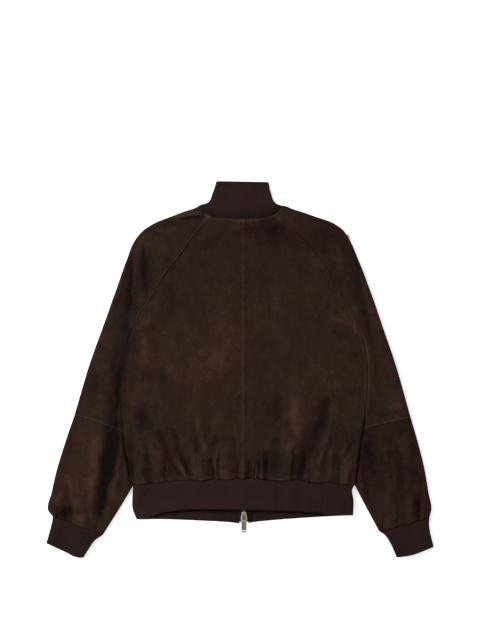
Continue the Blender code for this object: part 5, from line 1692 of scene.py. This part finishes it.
def pull_axis(mouth, nose):
    return mouth + (nose - mouth) * 0.52


def slider_outline(mouth, nose):
    """Outline of a slider's plates, narrow at the teeth's side and round at the other."""
    run = nose - mouth
    half = [(4.4, 0.0), (5.2, 0.25), (6.6, 0.5), (SLIDER_HALF, 0.68), (6.6, 0.85), (4.6, 0.97),
            (2.0, 1.0)]
    line = curve([(x, mouth + run * share) for x, share in half])(np.linspace(0, 1, 22))
    right = [tuple(point) for point in line]
    left = [(-x, y) for x, y in reversed(right)]
    return [(CENTRE + x, y) for x, y in right + left]


def block(x0, x1, y0, y1):
    """A box in plan, with its x counted from the middle of the zip."""
    return [(CENTRE + x0, y0), (CENTRE + x1, y0), (CENTRE + x1, y1), (CENTRE + x0, y1)]


def slider_mesh(name, mouth, nose):
    """Two bevelled plates with turned rims, the post between them, a boss and the pull's loop."""
    middle = ZIP_IN_SLIDER
    toward = 1.0 if nose > mouth else -1.0
    outline = slider_outline(mouth, nose)
    pivot = pull_axis(mouth, nose)
    pivot_z = middle - PIVOT_DROP
    low = middle - PLATE_GAP
    high = middle + PLATE_GAP
    post = sorted([nose - toward * 1.5, nose - toward * 6.0])
    boss = [(CENTRE + 3.3 * math.cos(a), pivot + 5.9 * math.sin(a))
            for a in np.linspace(0, 2 * math.pi, 24, endpoint=False)]
    groove = block(-0.7, 0.7, *sorted([mouth + toward * 1.8, pivot - toward * 6.8]))
    parts = [
        (outline, low - PLATE, low, 0.32),
        (outline, high, high + PLATE, 0.32, [softened(groove, 0.6)]),
        (block(-1.5, 1.5, *post), low - 0.4, high + 0.4, 0.2),
        (boss, high + PLATE - 0.3, high + PLATE + 0.55, 0.3),
        (block(-1.3, 1.3, pivot + 1.7, pivot + 2.4), pivot_z - 1.5, low - 0.5, 0.15),
        (block(-1.3, 1.3, pivot - 2.4, pivot - 1.7), pivot_z - 1.5, low - 0.5, 0.15),
        (block(-1.3, 1.3, pivot - 2.4, pivot + 2.4), pivot_z - 1.5, pivot_z - 0.8, 0.15),
    ]
    for sign in (-1, 1):
        rim = [(CENTRE + sign * x, mouth + (nose - mouth) * y)
               for x, y in ((4.9, 0.28), (6.3, 0.5), (6.9, 0.66), (5.9, 0.66), (5.4, 0.5), (4.0, 0.28))]
        parts.append((softened(rim[::sign], 0.3), high - 1.2, high + 0.3, 0.2))
    polish = [0.85, 0.85, 0.3, 0.12, 0.4, 0.4, 0.4, 0.95, 0.95]
    return merged(name, [rounded_plate(name, *part[:4], *part[4:]) for part in parts], polish)


def pull_mesh(name, mouth, nose):
    """A pull tab: a bar in the slider's loop, an eye round the loop and a slotted plate."""
    y = pull_axis(mouth, nose)
    z = ZIP_IN_SLIDER - PIVOT_DROP
    half = [(3.9, 0.6), (3.9, -7.0), (PULL_HALF, -9.5), (PULL_HALF, -PULL_LENGTH + 1.2),
            (PULL_HALF - 1.2, -PULL_LENGTH)]
    outline = [(CENTRE + px, y + py) for px, py in half]
    outline += [(CENTRE - px, y + py) for px, py in reversed(half)]
    eye = block(-2.2, 2.2, y - 0.6, y - 5.4)
    slot = block(-3.9, 3.9, y - 28.2, y - 30.7)
    holes = [softened(hole, 0.7) for hole in (eye, slot)]
    plate = rounded_plate(name, softened(outline, 1.2), z - PULL / 2, z + PULL / 2, 0.22, holes)
    panel = softened(block(-3.6, 3.6, y - 11.5, y - 26.0), 1.4)
    thick = PULL / 2 + 0.18
    raised = rounded_plate(name, panel, z - thick, z + thick, 0.16)
    # Painted light: the pull tab grows paler towards its right side
    return merged(name, [plate, raised], [0.52, 0.46], 0.05)


def length(name, description, default, low, high):
    """A property for a small size in metres."""
    return bpy.props.FloatProperty(name=name, description=description, default=default, min=low,
                                   max=high, precision=4, unit="LENGTH", subtype="DISTANCE")


def amount(name, description, default, low, high):
    """A property for a plain number."""
    return bpy.props.FloatProperty(name=name, description=description, default=default, min=low,
                                   max=high)


def colour_of(name, description, *colour):
    """A property for a colour."""
    return bpy.props.FloatVectorProperty(name=name, description=description, size=3,
                                         default=colour, min=0.0, max=1.0, subtype="COLOR")


class ClothSizes(bpy.types.PropertyGroup):
    """Sizes of the cloth, seams and zip."""

    suede_thickness: length("Suede", "Thickness of the suede", 0.0013, 0.0008, 0.0018)
    crease_depth: amount("Creases", "Share of the fine creases' own depth", 1.0, 0.0, 1.5)
    felled_height: length("Felled seams", "How far their bands stand proud", 0.0007, 0.0, 0.0015)
    rib_thickness: length("Rib knit", "Thickness of the rib knit", 0.0022, 0.0012, 0.003)
    rib_pitch: length("Rib pitch", "Width of one rib with its furrow", 0.0026, 0.002, 0.006)
    rib_height: length("Rib height", "Rise of a rib above its furrow", 0.0005, 0.0, 0.002)
    stitch_course: length("Knit course", "Height of a row of loops", 0.0016, 0.001, 0.004)
    stitch_length: length("Stitch", "Length of a sewn stitch", 0.0030, 0.0015, 0.006)
    stitch_width: length("Thread", "Width of the sewing thread", 0.0007, 0.0003, 0.0012)
    tooth_pitch: length("Tooth pitch", "From one zip tooth to the next", 0.0028, 0.002, 0.005)


class ClothColours(bpy.types.PropertyGroup):
    """Colours of the finishes, as linear light."""

    suede: colour_of("Suede", "Most of the nap", 0.0250, 0.0116, 0.0082)
    # The dark and light ends of the suede's colour also give the painted shade in valleys, shadows and
    # seams and the painted light on ridges and edges
    suede_dark: colour_of("Suede, dark", "Nap brushed away from the light", 0.0046, 0.0022, 0.0020)
    suede_light: colour_of("Suede, light", "Rubbed nap on ridges and edges", 0.0700, 0.0350, 0.0225)
    mottle: amount("Mottling", "How strongly the nap varies", 0.8, 0.0, 2.0)
    rib: colour_of("Rib knit", "Rib trims", 0.0235, 0.0110, 0.0100)
    # The light end of the rib's colour also serves as painted light on the ribs' crowns and on the left of
    # the hem band
    rib_light: colour_of("Rib knit, light", "Crowns of the ribs", 0.0420, 0.0215, 0.0190)
    thread: colour_of("Thread", "Sewing thread", 0.0290, 0.0140, 0.0100)
    tape: colour_of("Zip tape", "Woven tape", 0.0200, 0.0098, 0.0090)
    brass: colour_of("Brass", "Metal of the zip", 0.25, 0.205, 0.105)
    brass_rim: colour_of("Brass, rubbed", "Pale metal on rims and pull tabs", 0.62, 0.54, 0.46)
    floor: colour_of("Board", "What the garment lies on", 0.93, 0.93, 0.93)


class StageSettings(bpy.types.PropertyGroup):
    """Camera and lights."""

    lens: amount("Lens", "Focal length in millimetres", 85.0, 35.0, 200.0)
    frame_height: amount("Frame height", "Height of the picture in metres", 1.3777, 0.5, 4.0)
    key_power: amount("Key light", "Power of the large soft light in watts", 100.0, 0.0, 500.0)
    sky: amount("Fill", "Strength of the light from all round", 0.42, 0.0, 3.0)
    board_glow: amount("Board glow", "Keeps the board white", 0.5, 0.0, 2.0)


class BLOUSON_OT_panels(bpy.types.Operator):
    """Make the suede panels: fronts, upper and lower sleeves and the halves of the back"""

    bl_idname = "blouson.panels"
    bl_label = "Suede panels"

    def execute(self, context):
        suede_pair("front", front_panel)
        suede_pair("sleeve_upper", upper_sleeve, sleeve=True)
        suede_pair("sleeve_lower", lower_sleeve, sleeve=True)
        suede_pair("back", back_panel)
        return {"FINISHED"}


class BLOUSON_OT_rib_trims(bpy.types.Operator):
    """Make the rib trims: cuffs, stand collar and the band round the hem"""

    bl_idname = "blouson.rib_trims"
    bl_label = "Rib trims"

    def execute(self, context):
        for side in (LEFT, RIGHT):
            rib_piece("cuff_knit_" + side.name, "cuff_" + side.name, cuff(side))
        rib_piece("collar_knit", "collar", collar())
        rib_piece("hem_band_knit", "hem_band", hem_band())
        return {"FINISHED"}


class BLOUSON_OT_zip_tapes(bpy.types.Operator):
    """Make the woven zip tapes with their beaded edges"""

    bl_idname = "blouson.zip_tapes"
    bl_label = "Zip tapes"

    def execute(self, context):
        y = np.linspace(ZIP_TOP - 1.0, ZIP_BOTTOM + 1.0, 280)
        for side in (LEFT, RIGHT):
            reach = np.array([0.2, 0.5, 1.6, 2.8, 3.4, 5.4, 7.6, 9.0, 11.0, 13.0, 15.4, 16.0])
            bead = np.array([0.35, 0.75, 0.85, 0.7, 0.4, 0.4, 0.4, 0.4, 0.4, 0.4, 0.4, 0.25])
            parted = np.maximum(smooth((-303 - y) / 6), smooth((y - 318) / 6))
            x = CENTRE + side.sign * (reach + 1.5 * parted[:, None] * (reach < 3.0))
            on_rib = np.maximum(smooth((-240 - y) / 8), smooth((y - 249) / 12))
            laid = 0.6 + suede_wall() + (rib_wall() + 0.3 - suede_wall()) * on_rib
            fall = smooth((reach - 7.4) / 5)
            height = zip_height(y)[:, None] * (1.0 - fall) + laid[:, None] * fall
            grid = pairs(*np.broadcast_arrays(x, y[:, None]))
            outer = np.dstack([grid, height + bead])
            inner = np.dstack([grid, height - bead])
            name = "zip_tape_weave_" + side.name
            mesh = wall_mesh(name, outer, inner)
            lay_out(mesh, *cloth_place(outer))
            # Painted shadow under the hem band's back edge, as on the rib
            under = rib_shade(np.dstack([grid, np.zeros(x.shape)]))
            paint(mesh, "shade", np.tile(under.ravel(), 2))
            made = show(name, mesh)
            dress(made, woven_tape(), "zip_tape", "garment", "zip_tape_" + side.name)
        return {"FINISHED"}


TOOTH_AWAY = 1.35   # from the middle of the zip to the middle of a tooth
TEETH_END = 8.0     # from the end of the zip to the last tooth


class BLOUSON_OT_zip_teeth(bpy.types.Operator):
    """Set the brass teeth along both tapes"""

    bl_idname = "blouson.zip_teeth"
    bl_label = "Zip teeth"

    def execute(self, context):
        pitch = cloth().tooth_pitch
        step = pitch / MM
        down = np.arange(ZIP_TOP - TEETH_END, ZIP_BOTTOM + TEETH_END, -step)
        rows = []
        for sign, heights in ((-1, down), (1, (down - step / 2)[::-1])):
            x = np.full(len(heights), CENTRE + sign * TOOTH_AWAY)
            rows.append(np.stack([x, heights, zip_height(heights)], axis=-1))
        made = row_piece("zip_teeth", rows, tooth_mesh(), pitch, (0.0, 0.0), 5, aged_brass())
        dress(made, None, "brass", "garment", "zip_chain")
        return {"FINISHED"}


class BLOUSON_OT_sliders(bpy.types.Operator):
    """Make the two sliders"""

    bl_idname = "blouson.sliders"
    bl_label = "Sliders"

    def execute(self, context):
        for end, (mouth, nose) in ENDS.items():
            name = "slider_brass_" + end
            made = show(name, slider_mesh(name, mouth, nose))
            dress(made, aged_brass(), "brass", "garment", "slider_" + end)
        return {"FINISHED"}


class BLOUSON_OT_pulls(bpy.types.Operator):
    """Make the two pull tabs, which swing on their sliders"""

    bl_idname = "blouson.pulls"
    bl_label = "Pull tabs"

    def execute(self, context):
        for end, (mouth, nose) in ENDS.items():
            name = "pull_brass_" + end
            made = show(name, pull_mesh(name, mouth, nose))
            dress(made, aged_brass(), "brass", end + "_pull", "pull_" + end)
        return {"FINISHED"}


STITCH_STEP = 1.12   # from one stitch to the next, in stitch lengths
SEWN_IN = 2.5        # from a seam to its row of stitches
NECK_SEWN_IN = 6.0   # from the collar's seam to the row below it
THREAD_RISE = 0.1    # height of a stitch's middle over the cloth
ROLLED = 12          # columns of a sleeve in the roll of its inner edge
SEEN_SHARE = 0.70    # share of a sleeve's columns that are seen from above


class BLOUSON_OT_stitching(bpy.types.Operator):
    """Sew the double rows of the felled seams and the single rows of the others"""

    bl_idname = "blouson.stitching"
    bl_label = "Stitching"

    def execute(self, context):
        lines = []
        for side in (LEFT, RIGHT):
            back = back_panel(side)[0]
            upper = upper_sleeve(side)[0]
            raglan = len(side.raglan)
            seen = int(upper.shape[1] * SEEN_SHARE)
            lower = lower_sleeve(side)[0]
            for grid, edge, distance in (
                    (back, "left", SEWN_IN), (back[:raglan], "right", SEWN_IN),
                    (upper[:raglan, :seen], "left", SEWN_IN), (back, "first", NECK_SEWN_IN),
                    (upper[:, ROLLED:seen], "last", SEWN_IN),
                    (lower[:, ROLLED:seen], "first", SEWN_IN)):
                lines.append(line_beside(grid, edge, distance))
        for line in lines:
            line[:, 2] += THREAD_RISE
        step = cloth().stitch_length * STITCH_STEP
        made = row_piece("stitching", lines, stitch_mesh(), step, (0.10, 0.10), 11, thread())
        made.data.shade_smooth()
        dress(made, None, "rib_knit", "garment")
        return {"FINISHED"}


BOARD_HALF = 9.0                    # metres, as all lengths of the stage
BOARD_GAP = 0.0004                  # how far the board lies under the garment
PICTURE_MIDDLE = (0.0005, 0.1057)   # the spot under the camera
HALF_THICK = 0.008                  # height of the plane that the frame height is measured in


class BLOUSON_OT_stage(bpy.types.Operator):
    """Set the pale board, the soft lights and the camera straight above"""

    bl_idname = "blouson.stage"
    bl_label = "Stage"

    def execute(self, context):
        settings = context.scene.blouson_stage
        scene = context.scene
        mesh = bpy.data.meshes.new("floor")
        corners = [(x * BOARD_HALF, y * BOARD_HALF, -BOARD_GAP)
                   for x, y in ((-1, -1), (1, -1), (1, 1), (-1, 1))]
        mesh.from_pydata(corners, [], [(0, 1, 2, 3)])
        board = show("floor", mesh)
        mesh.materials.append(pale_floor())
        scene.view_settings.view_transform = "Standard"
        scene.view_settings.look = "None"
        world = bpy.data.worlds.new("studio")
        scene.world = world
        world.use_nodes = True
        light = world.node_tree.nodes["Background"]
        light.inputs["Color"].default_value = (1.0, 1.0, 1.0, 1.0)
        light.inputs["Strength"].default_value = settings.sky
        places = [("key", (-2.25, 0.9, 1.7), 1.1, settings.key_power),
                  ("side", (2.2, 0.6, 2.6), 1.6, settings.key_power * 0.12)]
        for name, spot, size, power in places:
            data = bpy.data.lights.new(name, "AREA")
            data.shape = "SQUARE"
            data.size = size
            data.energy = power
            lamp = bpy.data.objects.new(name, data)
            scene.collection.objects.link(lamp)
            lamp.location = spot
            x, y, z = spot
            lamp.rotation_euler = (math.atan2(math.hypot(x, y), z), 0.0, math.atan2(x, -y))
        data = bpy.data.cameras.new("camera")
        data.lens = settings.lens
        data.sensor_width = 36.0
        data.clip_start = 0.05
        data.clip_end = 60.0
        camera = bpy.data.objects.new("camera", data)
        scene.collection.objects.link(camera)
        distance = settings.lens / data.sensor_width * settings.frame_height + HALF_THICK
        camera.location = (*PICTURE_MIDDLE, distance)
        scene.camera = camera
        return {"FINISHED"}


class BLOUSON_PT_panel(bpy.types.Panel):
    """Steps that make the blouson, with its sizes and colours"""

    bl_idname = "BLOUSON_PT_panel"
    bl_label = "Suede blouson"
    bl_space_type = "VIEW_3D"
    bl_region_type = "UI"
    bl_category = "Blouson"

    def draw(self, context):
        layout = self.layout
        for group in ("blouson_cloth", "blouson_colours", "blouson_stage"):
            settings = getattr(context.scene, group)
            box = layout.box()
            for name in settings.__annotations__:
                box.prop(settings, name)
        steps = layout.column(align=True)
        for operator in OPERATORS:
            steps.operator(operator.bl_idname)


# In the order of the work: a piece comes after those that it rests on
OPERATORS = (
    BLOUSON_OT_stage, BLOUSON_OT_panels, BLOUSON_OT_rib_trims, BLOUSON_OT_zip_tapes,
    BLOUSON_OT_zip_teeth, BLOUSON_OT_sliders, BLOUSON_OT_pulls, BLOUSON_OT_stitching,
)
GROUPS = (
    ("blouson_cloth", ClothSizes),
    ("blouson_colours", ClothColours),
    ("blouson_stage", StageSettings),
)


def register():
    for name, group in GROUPS:
        bpy.utils.register_class(group)
        setattr(bpy.types.Scene, name, bpy.props.PointerProperty(type=group))
    for operator in OPERATORS:
        bpy.utils.register_class(operator)
    bpy.utils.register_class(BLOUSON_PT_panel)


def unregister():
    bpy.utils.unregister_class(BLOUSON_PT_panel)
    for operator in reversed(OPERATORS):
        bpy.utils.unregister_class(operator)
    for name, group in reversed(GROUPS):
        delattr(bpy.types.Scene, name)
        bpy.utils.unregister_class(group)


def main():
    register()
    for operator in OPERATORS:
        getattr(bpy.ops.blouson, operator.bl_idname.split(".")[1])()


if __name__ == "__main__":
    main()
